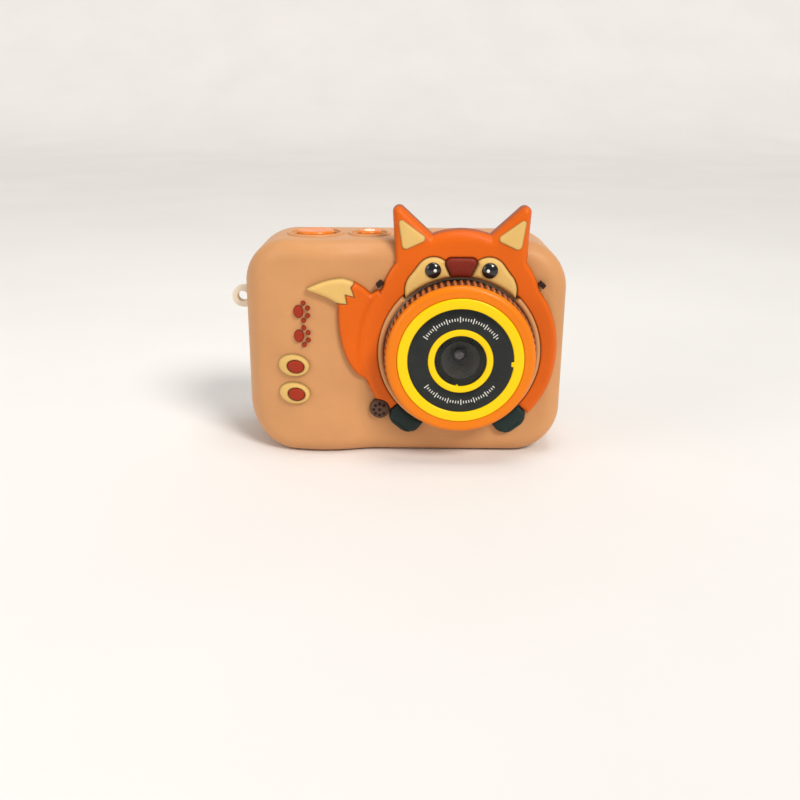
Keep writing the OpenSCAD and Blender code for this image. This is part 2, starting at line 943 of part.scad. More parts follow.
module top_button(x, r) {
    flange_top = top_inner - 0.1;
    color("orange") {
        pin_z(x, 0, r, flange_top, body_h + top_rise);
        pin_z(x, 0, r + button_flange, flange_top - flange_t, flange_top);
        pin_z(x, 0, 1.5, button_switch_top + button_travel + 0.15, flange_top - flange_t);
    }
}

module shutter_button() { top_button(shutter_x, shutter_r); }
module power_button() { top_button(power_x, power_r); }

module top_switch(x) {
    body_top = button_switch_top - 0.7;
    color("silver") {
        box(x - 3, x + 3, -2, board_front, body_top - 3.4, body_top);
        pin_z(x, 0, 1.2, body_top, button_switch_top);
    }
}

module shutter_switch() { top_switch(shutter_x); }
module power_switch() { top_switch(power_x); }

// ---------- ports ----------

module usb_port() {
    x0 = port_end - 7.5;
    color("silver") difference() {
        box(x0, port_end - 0.3, board_front - 2.8, board_front, usb_z - 3.9, usb_z + 3.9);
        box(x0 + 1, port_end + 1, board_front - 2.3, board_front - 0.5, usb_z - 3.4, usb_z + 3.4);
    }
}

// The card's own volume, grown by g and run out through the wall
module card_slot(g) {
    box(port_end - socket_len, right_x, card_y - card_t / 2 - g, card_y + card_t / 2 + g,
        card_z - card_w / 2 - g, card_z + card_w / 2 + g);
}

module card_socket() {
    x0 = port_end - socket_len - 0.8;
    x1 = port_end - wall - 0.1;
    half_w = card_w / 2 + 1.8;
    color("silver") difference() {
        box(x0, x1, card_y - socket_depth / 2, board_front, card_z - half_w, card_z + half_w);
        card_slot(slot_gap);
    }
}

module memory_card() {
    color("dimgray") box(port_end - card_l, port_end, card_y - card_t / 2, card_y + card_t / 2,
        card_z - card_w / 2, card_z + card_w / 2);
}

silicone_sleeve();
fox_body();
tail_tip();
face_mask();
fox_nose();
fox_eyes();
eye_glints();
inner_ears();
cheek_tabs();
fox_boots();
spotted_ball();
ball_spots();
grip_pads();
grip_pad_centres();
grip_motif();
front_housing();
rear_housing();
housing_screws();
strap_lug();
lens_barrel();
barrel_screws();
knurled_ring();
front_ring();
yellow_bezel();
lens_plate();
inner_yellow_ring();
lens_window();
lens_hood();
objective_lens();
camera_module();
camera_ribbon();
main_board();
battery();
battery_pad();
battery_leads();
lcd_module();
lcd_cushion();
lcd_ribbon();
screen_window();
speaker();
microphone();
key_switches();
shutter_switch();
power_switch();
usb_port();
card_socket();
shutter_button();
power_button();
mode_key();
play_key();
up_key();
down_key();
left_key();
right_key();
ok_key();
memory_card();
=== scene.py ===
import math

import bmesh
import bpy
import numpy as np
from mathutils import Matrix, Vector


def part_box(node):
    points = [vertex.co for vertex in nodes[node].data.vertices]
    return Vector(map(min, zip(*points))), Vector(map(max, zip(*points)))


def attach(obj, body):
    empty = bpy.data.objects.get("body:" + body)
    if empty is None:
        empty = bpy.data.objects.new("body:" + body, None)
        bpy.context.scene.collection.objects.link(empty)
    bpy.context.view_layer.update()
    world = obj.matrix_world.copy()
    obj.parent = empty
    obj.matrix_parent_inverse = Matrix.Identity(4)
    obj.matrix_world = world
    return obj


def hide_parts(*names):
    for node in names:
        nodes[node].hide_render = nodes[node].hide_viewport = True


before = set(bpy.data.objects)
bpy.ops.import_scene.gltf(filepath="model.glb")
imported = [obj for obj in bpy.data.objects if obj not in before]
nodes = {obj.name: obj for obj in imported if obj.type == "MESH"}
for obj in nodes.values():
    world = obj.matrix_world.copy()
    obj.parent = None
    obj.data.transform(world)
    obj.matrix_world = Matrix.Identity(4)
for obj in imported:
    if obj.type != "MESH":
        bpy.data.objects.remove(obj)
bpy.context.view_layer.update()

# Kids digital camera with a fox figure. Lengths below are in millimetres.
MM = 0.001


def box_mm(node):
    """Lowest and highest corner of a CAD node, in mm."""
    lo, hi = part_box(node)
    return np.array(lo) / MM, np.array(hi) / MM


def middle_mm(node):
    lo, hi = box_mm(node)
    return (lo + hi) / 2


def half_mm(node):
    """Half of a CAD node's size, in mm."""
    lo, hi = box_mm(node)
    return (hi - lo) / 2


# ---------- sizes, from the CAD nodes ----------

(LEFT, _, FOOT), (RIGHT, BACK, TOP) = box_mm("silicone_sleeve")
WIDE, HIGH = RIGHT - LEFT, TOP - FOOT
MASK_Y, FRONT = (corner[1] for corner in box_mm("face_mask"))
REAR_FACE = box_mm("rear_housing")[1][1]
LENS_Y = box_mm("inner_yellow_ring")[0][1]
LX, _, LZ = middle_mm("front_ring")
RING_R = half_mm("front_ring")[0]
ROOF = TOP - LZ  # the sleeve's top above the lens axis

# Sleeve
HOLE_R = RING_R + 0.5
COLLAR_R = RING_R + 2.2
COLLAR_RISE = 2.5
CORNER_R = 14.0
FRONT_ROUND = 5.2
REAR_ROUND = 3.2
INNER_ROUND = 3.0
LIP, LIP_ROUND = 5.0, 0.7
SKIN = 2.0

# Grip: an arc whose crest stands GRIP_RISE before the flat front, GRIP_HALF from the left end
GRIP_HALF = 23.0
GRIP_X = LEFT + GRIP_HALF
GRIP_RISE = 2.2
GRIP_FALL = GRIP_RISE + 5.5
GRIP_R = (GRIP_HALF**2 + GRIP_FALL**2) / (2 * GRIP_FALL)
GRIP_CY = FRONT - GRIP_RISE + GRIP_R
GRIP_BLEND = 1.2

# Fox, about the lens axis
FIGURE_T = 2.2
MASK_T = 2.7
SUNK = 0.45  # how far a relief piece's back lies in the sleeve
BELLY, BELLY_R = (0, 0.9), 28.6
BALL, BALL_R = (-23.1, -17.4), 3.05
TAB_X, TAB_Z, TAB_TURN = 23.1, 20.2, -40
BOOT_TURN, BOOT_PLACE = -52, (24.8, -0.3)
EYE_X, EYE_R, EYE_SPHERE = 8, 2.2, 3.4
SIDES = ((-1, "left"), (1, "right"))

# Lens ring, buttons and keys
RIBS = 72
SHELL_WALL = 1.8
FLANGE = 0.9  # how much wider than its cap a top button's flange is
BUTTONS = ("shutter_button", "power_button")


def bulge(x):
    """Front surface (y) of the sleeve at x: the grip's arc joined softly to the flat."""
    grip = GRIP_CY - np.sqrt(GRIP_R**2 - np.clip(x - GRIP_X, -30, 30) ** 2)
    near = np.maximum(GRIP_BLEND - np.abs(grip - FRONT), 0) / GRIP_BLEND
    soft = np.minimum(grip, FRONT) - near * near * GRIP_BLEND / 4
    return np.where(x < GRIP_X, grip, soft)


def smooth(t):
    """0 below 0, 1 above 1, with no corner between."""
    t = np.clip(t, 0, 1)
    return t * t * (3 - 2 * t)


def rounding(d, r):
    """How far a rounded edge of radius r has dropped at a distance d in from its side."""
    d = np.clip(d, 0, r)
    return r - np.sqrt(np.maximum(r * r - (r - d) ** 2, 0))


# ---------- distances in the plane, about the lens axis ----------


def sd_circle(p, centre, r):
    return np.hypot(p[:, 0] - centre[0], p[:, 1] - centre[1]) - r


def sd_rect(p, w, h, r):
    q = np.abs(p) - np.array([w / 2 - r, h / 2 - r])
    outside = np.hypot(np.maximum(q[:, 0], 0), np.maximum(q[:, 1], 0))
    return outside + np.minimum(np.maximum(q[:, 0], q[:, 1]), 0) - r


def sd_polygon(p, points):
    a = np.asarray(points, float)
    b = np.roll(a, -1, axis=0)
    best = np.full(len(p), 1e9)
    inside = np.zeros(len(p), bool)
    for (ax, ay), (bx, by) in zip(a, b):
        ex, ey = bx - ax, by - ay
        px, py = p[:, 0] - ax, p[:, 1] - ay
        t = np.clip((px * ex + py * ey) / max(ex * ex + ey * ey, 1e-12), 0, 1)
        best = np.minimum(best, (px - t * ex) ** 2 + (py - t * ey) ** 2)
        if ay != by:
            crosses = (ay > p[:, 1]) != (by > p[:, 1])
            inside ^= crosses & (p[:, 0] < ex * (p[:, 1] - ay) / (by - ay) + ax)
    return np.where(inside, -1, 1) * np.sqrt(best)


def hull(circles, n=48):
    """Outline round several circles (x, z, r)."""
    angles = np.linspace(0, 2 * np.pi, n, endpoint=False)
    pts = np.concatenate([
        np.column_stack([x + r * np.cos(angles), z + r * np.sin(angles)]) for x, z, r in circles
    ])
    pts = pts[np.lexsort((pts[:, 1], pts[:, 0]))]

    def half(points):
        out = []
        for q in points:
            while len(out) > 1:
                (ax, ay), (bx, by) = out[-2], out[-1]
                if (bx - ax) * (q[1] - ay) - (by - ay) * (q[0] - ax) > 1e-9:
                    break
                out.pop()
            out.append(q)
        return out[:-1]

    return np.array(half(pts) + half(pts[::-1]))


def turned(p, degrees, about=(0, 0)):
    """Points turned by -degrees about a centre, so that a shape drawn there stands at +degrees."""
    c, s = math.cos(math.radians(degrees)), math.sin(math.radians(degrees))
    x, z = p[:, 0] - about[0], p[:, 1] - about[1]
    return np.column_stack([x * c + z * s, -x * s + z * c])


def bezier(p, q, r, s, n=14):
    t = np.arange(n)[:, None] / n
    u = 1 - t
    p, q, r, s = (np.array(v, float) for v in (p, q, r, s))
    return u**3 * p + 3 * u * u * t * q + 3 * u * t * t * r + t**3 * s


TAIL = np.concatenate([
    bezier([-25.6, 17.3], [-27.3, 19], [-29.8, 21.3], [-33.5, 22]),
    bezier([-33.5, 22], [-37.5, 22.1], [-41, 20.6], [-44.2, 18.9]),
    bezier([-44.2, 18.9], [-41, 17.2], [-37.5, 17], [-34.9, 14.2]),
    bezier([-34.9, 14.2], [-35.4, 6], [-33.5, -4.5], [-27.8, -7.9]),
    bezier([-27.8, -7.9], [-25.5, -9.5], [-25, -14], [-20, -16.8]),
    [[-15, 0], [-23.2, 18.6]],
])
TAIL_TIP = np.array([
    [-48, 30], [-31.5, 24], [-30.3, 20.4], [-31.2, 19.4], [-30.2, 16.5],
    [-32.8, 17.4], [-32.3, 14.6], [-35.6, 15], [-48, 8],
])
BOOT_WEDGE = np.array([[0, 0], [40, -35.4], [-40, -35.4]])
HEAD = hull([(0, 12, 23.5), (0, ROOF - 8, 11.5)], 180)
NOSE = hull([(-2.9, 26.4, 1.6), (2.9, 26.4, 1.6), (0, 20.8, 1.8)])


def ear_outline(s):
    return hull([(s * 17.6, ROOF + 8.2, 1.8), (s * 15.6, ROOF - 6, 3), (s * 8, ROOF - 1.5, 2.5)])


def inlay_outline(s):
    return hull([(s * 16.9, ROOF + 5.4, 0.9), (s * 15.6, ROOF - 0.5, 1.3), (s * 11.4, ROOF + 1.2, 1.1)])


def sd_belly(p):
    return np.maximum(sd_circle(p, BELLY, BELLY_R), -sd_polygon(p, BOOT_WEDGE))


def sd_mask(p):
    parts, blend = [], 1.5
    for s in (-1, 1):
        cheek = np.minimum(sd_circle(p, (s * 9.3, 18.5), 6.75), sd_circle(p, (s * 6.5, 20), 5))
        brow = sd_circle(p, (s * 7.8, 23), 5.2)
        near = np.maximum(blend - np.abs(cheek - brow), 0) / blend
        parts.append(np.minimum(cheek, brow) - near * near * blend / 4)
    return np.minimum(*parts)


def sd_tab(p, s):
    return sd_rect(turned(p, s * TAB_TURN, (s * TAB_X, TAB_Z)), 2, 1.4, 0.3)


def along_boot(p, s):
    """Points in the boot's own frame: first away from the lens, then across."""
    return turned(np.column_stack([p[:, 0] * s, p[:, 1]]), BOOT_TURN)


def sd_boot(p, s):
    return sd_rect(along_boot(p, s) - BOOT_PLACE, 9, 10.2, 3.8)


def sd_figure(p):
    """Outline of the whole orange figure."""
    parts = [sd_polygon(p, TAIL), sd_belly(p), sd_polygon(p, HEAD)]
    parts += [sd_polygon(p, ear_outline(s)) for s in (-1, 1)]
    return np.minimum.reduce(parts)


# ---------- mesh helpers ----------


def finish_mesh(name, mesh, material, slot, body="root", replaces=(), sharp=40):
    """Shades a mesh, gives it its material and ties it to its body."""
    mesh.shade_smooth()
    mesh.set_sharp_from_angle(angle=math.radians(sharp))
    mesh.materials.clear()
    mesh.materials.append(material)
    obj = bpy.data.objects.new(name, mesh)
    bpy.context.scene.collection.objects.link(obj)
    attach(obj, body)
    if replaces:
        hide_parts(*replaces)
    return obj


def raw_mesh(name, verts, faces):
    mesh = bpy.data.meshes.new(name)
    mesh.from_pydata([tuple(v) for v in np.asarray(verts, float) * MM], [], faces)
    mesh.validate()
    mesh.update()
    return mesh


def ring_faces(rings, count, closed=False):
    """Quads that join successive rings of count points."""
    faces = []
    for i in range(rings if closed else rings - 1):
        a, b = i * count, (i + 1) % rings * count
        for j in range(count):
            k = (j + 1) % count
            faces.append((a + j, a + k, b + k, b + j))
    return faces


def turn(profile, centre, axis, count, wobble=None):
    """Ring or disc turned from (radius, place along the axis) points; radius 0 closes an end.
    wobble(angle, radius, place) gives the radius at each angle."""
    angles = np.linspace(0, 2 * np.pi, count, endpoint=False)
    verts, faces, index = [], [], []
    for r, place in profile:
        if r < 1e-6:
            index.append([len(verts)])
            ring = [(0, place, 0)]
        else:
            index.append(list(range(len(verts), len(verts) + count)))
            radii = np.full(count, r) if wobble is None else wobble(angles, r, place)
            ring = zip(radii * np.cos(angles), np.full(count, place), radii * np.sin(angles))
        verts.extend(ring)
    pairs = list(zip(index, index[1:]))
    if len(index[0]) > 1 and len(index[-1]) > 1:
        pairs.append((index[-1], index[0]))
    for a, b in pairs:
        for j in range(count):
            k = (j + 1) % count
            if len(a) == 1 and len(b) > 1:
                faces.append((a[0], b[k], b[j]))
            elif len(b) == 1 and len(a) > 1:
                faces.append((a[j], a[k], b[0]))
            elif len(a) > 1:
                faces.append((a[j], a[k], b[k], b[j]))
    verts = np.array(verts, float)
    if axis == "z":
        verts = verts[:, [0, 2, 1]]
        verts[:, 1] *= -1
    return verts + np.array(centre, float), faces


def arc(centre, r, start, stop, n=6):
    """Points (radius, place) on a circle, angles in degrees."""
    angles = np.radians(np.linspace(start, stop, n))
    return [(centre[0] + r * math.cos(a), centre[1] + r * math.sin(a)) for a in angles]


def half_ring(middle, wide, high, n=7):
    """Points over a half ellipse that stands on middle, from its inner to its outer side."""
    angles = np.radians(np.linspace(180, 0, n))
    return [(middle[0] + wide * math.cos(a), middle[1] + high * math.sin(a)) for a in angles]


def outward(mesh):
    """Makes a closed mesh's faces point outwards."""
    bm = bmesh.new()
    bm.from_mesh(mesh)
    bmesh.ops.recalc_face_normals(bm, faces=bm.faces)
    bm.to_mesh(mesh)
    bm.free()
    return mesh


def turned_piece(
    name, profile, centre, material, slot, axis="y", count=160, wobble=None, **facts
):
    mesh = outward(raw_mesh(name, *turn(profile, centre, axis, count, wobble)))
    return finish_mesh(name, mesh, material, slot, **facts)


# ---------- reliefs: pieces laid on the sleeve, from their outline's distance ----------


def split_level(pts, depth, tris, level):
    """Cuts every triangle along the line where depth is level."""
    side = np.sign(depth - level)
    side[np.abs(depth - level) < 1e-7] = 0
    lo, hi = side[tris].min(1), side[tris].max(1)
    cut = (lo < 0) & (hi > 0)
    keep = tris[~cut]
    made, new_pts, out = {}, [], []
    n0 = len(pts)

    def middle(i, j):
        key = (min(i, j), max(i, j))
        if key not in made:
            a, b = key
            t = (level - depth[a]) / (depth[b] - depth[a])
            made[key] = n0 + len(new_pts)
            new_pts.append(pts[a] + t * (pts[b] - pts[a]))
        return made[key]

    for tri in tris[cut]:
        s = [int(side[i]) for i in tri]
        if 0 in s:
            k = s.index(0)
            a, b, c = tri[k], tri[(k + 1) % 3], tri[(k + 2) % 3]
            m = middle(b, c)
            out += [(a, b, m), (a, m, c)]
            continue
        odd = 1 if s.count(1) == 1 else -1
        k = s.index(odd)
        a, b, c = tri[k], tri[(k + 1) % 3], tri[(k + 2) % 3]
        m, n = middle(a, b), middle(a, c)
        out += [(a, m, n), (m, b, c), (m, c, n)]
    if new_pts:
        pts = np.vstack([pts, new_pts])
        depth = np.concatenate([depth, np.full(len(new_pts), level)])
    tris = np.vstack([keep, np.array(out, int).reshape(-1, 3)])
    return pts, depth, tris


def level_mesh(sdf, bounds, step, levels):
    """Triangles over the inside of an outline, with edges along each of its depth levels."""
    x0, z0, x1, z1 = bounds
    nx, nz = int((x1 - x0) / step) + 2, int((z1 - z0) / step) + 2
    gx, gz = np.meshgrid(x0 + np.arange(nx) * step, z0 + np.arange(nz) * step, indexing="ij")
    pts = np.column_stack([gx.ravel(), gz.ravel()])
    depth = -sdf(pts)
    eps = 0.01
    grad = np.column_stack([
        (-sdf(pts + [eps, 0]) - depth) / eps, (-sdf(pts + [0, eps]) - depth) / eps,
    ])
    grad /= np.maximum((grad**2).sum(1), 0.25)[:, None]
    reach = 0.28 * step
    for level in levels:
        gap = min([abs(level - k) for k in levels if k != level] or [step])
        near = np.abs(depth - level) < min(reach, gap * 0.45)
        pts[near] += (level - depth[near])[:, None] * grad[near]
        depth[near] = level
    ids = np.arange(nx * nz).reshape(nx, nz)
    a, b, c, d = ids[:-1, :-1].ravel(), ids[1:, :-1].ravel(), ids[1:, 1:].ravel(), ids[:-1, 1:].ravel()
    flip = ((np.add.outer(np.arange(nx - 1), np.arange(nz - 1))) % 2).ravel().astype(bool)
    tris = np.vstack([
        np.column_stack([a, b, c])[~flip], np.column_stack([a, c, d])[~flip],
        np.column_stack([a, b, d])[flip], np.column_stack([b, c, d])[flip],
    ])
    tris = tris[(depth[tris] > -step).any(1)]
    for level in levels:
        pts, depth, tris = split_level(pts, depth, tris, level)
    tris = tris[(depth[tris] >= -1e-7).all(1) & (depth[tris] > 1e-7).any(1)]
    used, flat = np.unique(tris, return_inverse=True)
    return pts[used], depth[used], flat.reshape(-1, 3)


def dome(depth, r, h0=0.35):
    """Share of the full height at a depth in from the edge, on a rounded edge of radius r."""
    t = np.clip(1 - depth / r, 0, 1)
    return h0 + (1 - h0) * np.sqrt(1 - t * t)


EDGE_LEVELS = (0.0, 0.06, 0.22, 0.5, 0.9, 1.4)


def relief(name, sdf, bounds, top, under, material, slot, step=0.4, levels=EDGE_LEVELS, sharp=42, **facts):
    """Closed piece over an outline drawn about the lens axis: its front at y = top(p, depth)
    and its back at y = under(p, depth)."""
    pts, depth, tris = level_mesh(sdf, bounds, step, levels)
    n = len(pts)
    front = np.column_stack([pts[:, 0] + LX, top(pts, depth), pts[:, 1] + LZ])
    back = np.column_stack([pts[:, 0] + LX, under(pts, depth), pts[:, 1] + LZ])
    edges = np.concatenate([tris[:, [0, 1]], tris[:, [1, 2]], tris[:, [2, 0]]])
    known = set(map(tuple, edges))
    rim = [(i, j) for i, j in known if (j, i) not in known]
    faces = [tuple(t) for t in tris.tolist()]
    faces += [(c + n, b + n, a + n) for a, b, c in tris.tolist()]
    faces += [(j, i, i + n, j + n) for i, j in rim]
    mesh = raw_mesh(name, np.vstack([front, back]), faces)
    piece = finish_mesh(name, mesh, material, slot, sharp=sharp, **facts)
    edge = piece.data.attributes.new("edge_depth", "FLOAT", "POINT")
    edge.data.foreach_set("value", np.concatenate([depth, depth]).astype(np.float32))
    return piece


def sleeve_front(x):
    """Front surface that the figure lies on: it follows the grip and rounds the right edge."""
    return bulge(x) + rounding(RIGHT - x, FRONT_ROUND)


def into_sleeve(p, depth):
    """A little way into the sleeve, where a relief piece's back lies."""
    return sleeve_surface(p[:, 0] + LX, p[:, 1] + LZ) + SUNK


def inset(x, z):
    """Distance in from the sleeve's outline."""
    q = np.column_stack([x - (LEFT + RIGHT) / 2, z - HIGH / 2])
    return -sd_rect(q, WIDE, HIGH, CORNER_R)


def sleeve_surface(x, z):
    return bulge(x) + rounding(np.maximum(inset(x, z), 0), FRONT_ROUND)


# ---------- materials ----------


def rgb(r, g, b):
    """sRGB 0-255 to linear."""
    def one(c):
        c /= 255
        return c / 12.92 if c <= 0.04045 else ((c + 0.055) / 1.055) ** 2.4
    return (one(r), one(g), one(b), 1)


def scaled(c, k):
    return (min(c[0] * k, 1), min(c[1] * k, 1), min(c[2] * k, 1), 1)


class Nodes:
    """Short ways to add and join shader nodes."""

    def __init__(self, name):
        self.mat = bpy.data.materials.new(name)
        self.mat.use_nodes = True
        self.tree = self.mat.node_tree
        self.coords = self.tree.nodes.new("ShaderNodeTexCoord").outputs["Object"]

    def put(self, socket, value):
        if isinstance(value, bpy.types.NodeSocket):
            self.tree.links.new(value, socket)
        else:
            socket.default_value = value

    def add(self, kind, inputs, **values):
        """New node; inputs gives its sockets a value or another node's output."""
        node = self.tree.nodes.new(kind)
        for k, v in values.items():
            setattr(node, k, v)
        for socket, value in inputs.items():
            self.put(node.inputs[socket], value)
        return node

    def surface(self, inputs):
        """Sets the surface's inputs and returns the material."""
        for socket, value in inputs.items():
            self.put(self.tree.nodes["Principled BSDF"].inputs[socket], value)
        return self.mat

    def noise(self, scale, detail=3, rough=0.55):
        inputs = {"Vector": self.coords, "Scale": scale, "Detail": detail, "Roughness": rough}
        return self.add("ShaderNodeTexNoise", inputs).outputs["Fac"]

    def math(self, operation, a, b=0.0):
        return self.add("ShaderNodeMath", {0: a, 1: b}, operation=operation).outputs[0]

    def ramp(self, fac, stops):
        node = self.add("ShaderNodeValToRGB", {"Fac": fac})
        elements = node.color_ramp.elements
        elements[0].position, elements[0].color = stops[0]
        elements[1].position, elements[1].color = stops[-1]
        for place, colour in stops[1:-1]:
            elements.new(place).color = colour
        return node.outputs["Color"]

    def mottled(self, fac, colour, low, high, edge=0.3):
        """A colour that drifts between low and high times itself."""
        return self.ramp(fac, [(edge, scaled(colour, low)), (1 - edge, scaled(colour, high))])

    def mix(self, fac, a, b):
        return self.add("ShaderNodeMix", {0: fac, 6: a, 7: b}, data_type="RGBA").outputs[2]

    def between(self, fac, low, high):
        return self.add("ShaderNodeMapRange", {"Value": fac, "To Min": low, "To Max": high}).outputs[0]

    def bump(self, height, distance, strength, **under):
        inputs = {"Height": height, "Distance": distance, "Strength": strength, **under}
        return self.add("ShaderNodeBump", inputs).outputs["Normal"]

    def about(self, x, z):
        """The point's X and Z (metres) from a centre in mm."""
        xyz = self.add("ShaderNodeSeparateXYZ", {0: self.coords}).outputs
        return self.math("SUBTRACT", xyz["X"], x * MM), self.math("SUBTRACT", xyz["Z"], z * MM)

    def polar(self):
        """Radius (mm) and angle about the lens axis."""
        x, z = self.about(LX, LZ)
        squares = self.math("ADD", self.math("MULTIPLY", x, x), self.math("MULTIPLY", z, z))
        radius = self.math("MULTIPLY", self.math("SQRT", squares), 1 / MM)
        return radius, self.math("ARCTAN2", z, x)


def silicone(name, colour, rough=0.56, mottle=0.06, soft=0.08, outline=0.0):
    """Soft matt rubber: faint mottling, fine moulded grain and a slight skin scatter.
    outline is how far the colour darkens along a relief piece's edge, as painted shade in the gap round it."""
    n = Nodes(name)
    broad = n.noise(55, 4)
    body = n.mottled(broad, colour, 1 - mottle, 1 + mottle)
    if outline:
        # Painted shade: the colour darkens towards a relief piece's edge, standing in for the shadow in the
        # gap round it.
        edge = n.add("ShaderNodeAttribute", {}, attribute_name="edge_depth").outputs["Fac"]
        seam_shade = n.ramp(n.math("MULTIPLY", edge, 2.5), [
            (0.0, scaled(colour, 1 - outline)), (0.3, scaled(colour, 1 - outline * 0.55)),
            (1.0, scaled(colour, 1)),
        ])
        body = n.mix(n.math("LESS_THAN", edge, 0.4), body, seam_shade)
    return n.surface({
        "Base Color": body,
        "Roughness": n.between(n.noise(240, 4), rough - 0.07, rough + 0.07),
        "Normal": n.bump(broad, 0.0002, 0.25, Normal=n.bump(n.noise(2600, 2, 0.6), 0.00004, 0.55)),
        "Subsurface Weight": soft, "Subsurface Radius": (1.0, 0.5, 0.25), "Subsurface Scale": 0.0015,
        "Specular IOR Level": 0.24, "Sheen Weight": 0.02, "Sheen Roughness": 0.5,
    })


def plastic(name, colour, rough=0.28, grain=0.15, scale=1800, coat=0.0, shine=0.4):
    """Moulded ABS: fine texture, faint flow marks and uneven gloss."""
    n = Nodes(name)
    return n.surface({
        "Base Color": n.mottled(n.noise(40, 3), colour, 0.96, 1.04, 0.25),
        "Roughness": n.between(n.noise(320, 5), rough - 0.05, rough + 0.06),
        "Normal": n.bump(n.noise(scale, 3), 0.00003, grain),
        "Specular IOR Level": shine, "Coat Weight": coat, "Coat Roughness": 0.12,
    })


def metal(name, colour, rough=0.3):
    n = Nodes(name)
    streak = n.noise(900, 4)
    return n.surface({
        "Base Color": n.mottled(streak, colour, 0.85, 1.1),
        "Metallic": 1.0,
        "Roughness": n.between(streak, rough - 0.08, rough + 0.12),
        "Normal": n.bump(streak, 0.00002, 0.3),
    })


def shaded_knurl_material():
    """Burnt orange ribs: painted shade over the orange plastic, darker still and dusty in the grooves
    between them.
    """
    n = Nodes("knurl_shaded_abs")
    radius, _ = n.polar()
    depth = n.math("SUBTRACT", radius, RING_R - 0.45)
    # Painted shade: the whole ring darker than its orange plastic, darkest at the bottom of each groove.
    colour = n.ramp(n.math("MULTIPLY", depth, 1.25), [
        (0.0, rgb(118, 60, 28)), (0.45, rgb(152, 82, 38)), (1.0, rgb(182, 102, 50)),
    ])
    dust = n.noise(500, 5, 0.7)
    return n.surface({
        "Base Color": n.mix(n.between(dust, 0.0, 0.2), colour, rgb(180, 110, 66)),
        "Roughness": n.between(dust, 0.36, 0.52),
        "Normal": n.bump(n.noise(2200, 2), 0.00003, 0.2),
    })


def plate_material():
    """Glossy black plate with fine white index ticks in two arcs, every fifth one longer."""
    n = Nodes("plate_gloss")
    radius, angle = n.polar()

    def off(value, middle):
        return n.math("ABSOLUTE", n.math("SUBTRACT", value, middle))

    turns = n.math("MULTIPLY", angle, 100 / (2 * math.pi))
    phase = n.math("SUBTRACT", turns, n.math("FLOOR", turns))
    dash = n.math("LESS_THAN", off(phase, 0.5), 0.17)
    fifths = n.math("MULTIPLY", turns, 0.2)
    major = n.math("LESS_THAN", n.math("SUBTRACT", fifths, n.math("FLOOR", fifths)), 0.2)
    longer = n.math("MULTIPLY", major, 0.4)
    above = n.math("GREATER_THAN", radius, n.math("SUBTRACT", 11.7, longer))
    band = n.math("MULTIPLY", above, n.math("LESS_THAN", radius, n.math("ADD", 12.5, longer)))
    on_top = n.math("LESS_THAN", off(angle, math.pi / 2), 1.02)
    arcs = n.math("MAXIMUM", on_top, n.math("LESS_THAN", off(angle, -math.pi / 2), 0.95))
    mark = n.math("MULTIPLY", n.math("MULTIPLY", dash, band), arcs)
    smear = n.noise(160, 4, 0.6)
    black = n.ramp(smear, [(0.3, rgb(20, 24, 22)), (0.75, rgb(30, 35, 32))])
    return n.surface({
        "Base Color": n.mix(mark, black, rgb(222, 222, 214)),
        "Roughness": n.between(smear, 0.16, 0.3),
        "Specular IOR Level": 0.35,
        "Normal": n.bump(n.noise(60, 2), 0.00004, 0.12),
    })


def hood_material():
    """Dull black face round a grey stepped funnel."""
    n = Nodes("hood_abs")
    radius, _ = n.polar()
    face = rgb(13, 14, 12)
    base = n.ramp(n.math("MULTIPLY", radius, 0.1), [
        (0.0, rgb(70, 67, 62)), (0.535, rgb(86, 83, 77)), (0.55, face), (1.0, face),
    ])
    wear = n.noise(700, 3)
    return n.surface({
        "Base Color": n.mix(n.between(wear, 0.0, 0.12), base, rgb(60, 58, 54)),
        "Roughness": n.between(wear, 0.45, 0.6),
        "Specular IOR Level": 0.2,
    })


def clear_material(name, tint, rough=0.04):
    """Clear coated window with faint wipe marks."""
    n = Nodes(name)
    return n.surface({
        "Base Color": n.mottled(n.noise(90, 3), tint, 0.97, 1.0),
        "Roughness": n.between(n.noise(260, 5, 0.7), rough, rough + 0.05),
        "Transmission Weight": 1.0,
        "IOR": 1.22,
    })


def lens_material():
    """Dark coated objective: a violet-grey sheen painted over near black, as a reflection."""
    n = Nodes("lens_coated")
    radius, _ = n.polar()
    # Painted reflection: a lighter violet-grey ring near the centre, fading to near black towards the rim.
    stops = ((0.0, (62, 54, 58)), (0.35, (98, 86, 90)), (0.6, (70, 62, 72)), (0.85, (26, 25, 28)))
    return n.surface({
        "Base Color": n.ramp(n.math("MULTIPLY", radius, 0.45), [(t, rgb(*c)) for t, c in stops]),
        "Roughness": n.between(n.noise(300, 3), 0.03, 0.09),
        "Coat Weight": 1.0,
        "Coat Roughness": 0.03,
    })


def screen_material():
    """Smoked acrylic: dark picture area inside a black printed border."""
    n = Nodes("screen_acrylic")
    half, (cx, _, cz) = half_mm("screen_window"), middle_mm("screen_window")
    x, z = n.about(cx, cz)
    across = n.math("LESS_THAN", n.math("ABSOLUTE", x), (half[0] - 4.6) * MM)
    along = n.math("LESS_THAN", n.math("ABSOLUTE", z), (half[2] - 4.2) * MM)
    inside = n.math("MULTIPLY", across, along)
    picture = n.ramp(n.noise(45, 4), [(0.3, rgb(28, 33, 40)), (0.7, rgb(40, 47, 56))])
    return n.surface({
        "Base Color": n.mix(inside, rgb(9, 9, 10), picture),
        "Roughness": n.between(n.noise(200, 5), 0.06, 0.13),
        "Coat Weight": 0.6,
        "Coat Roughness": 0.04,
    })


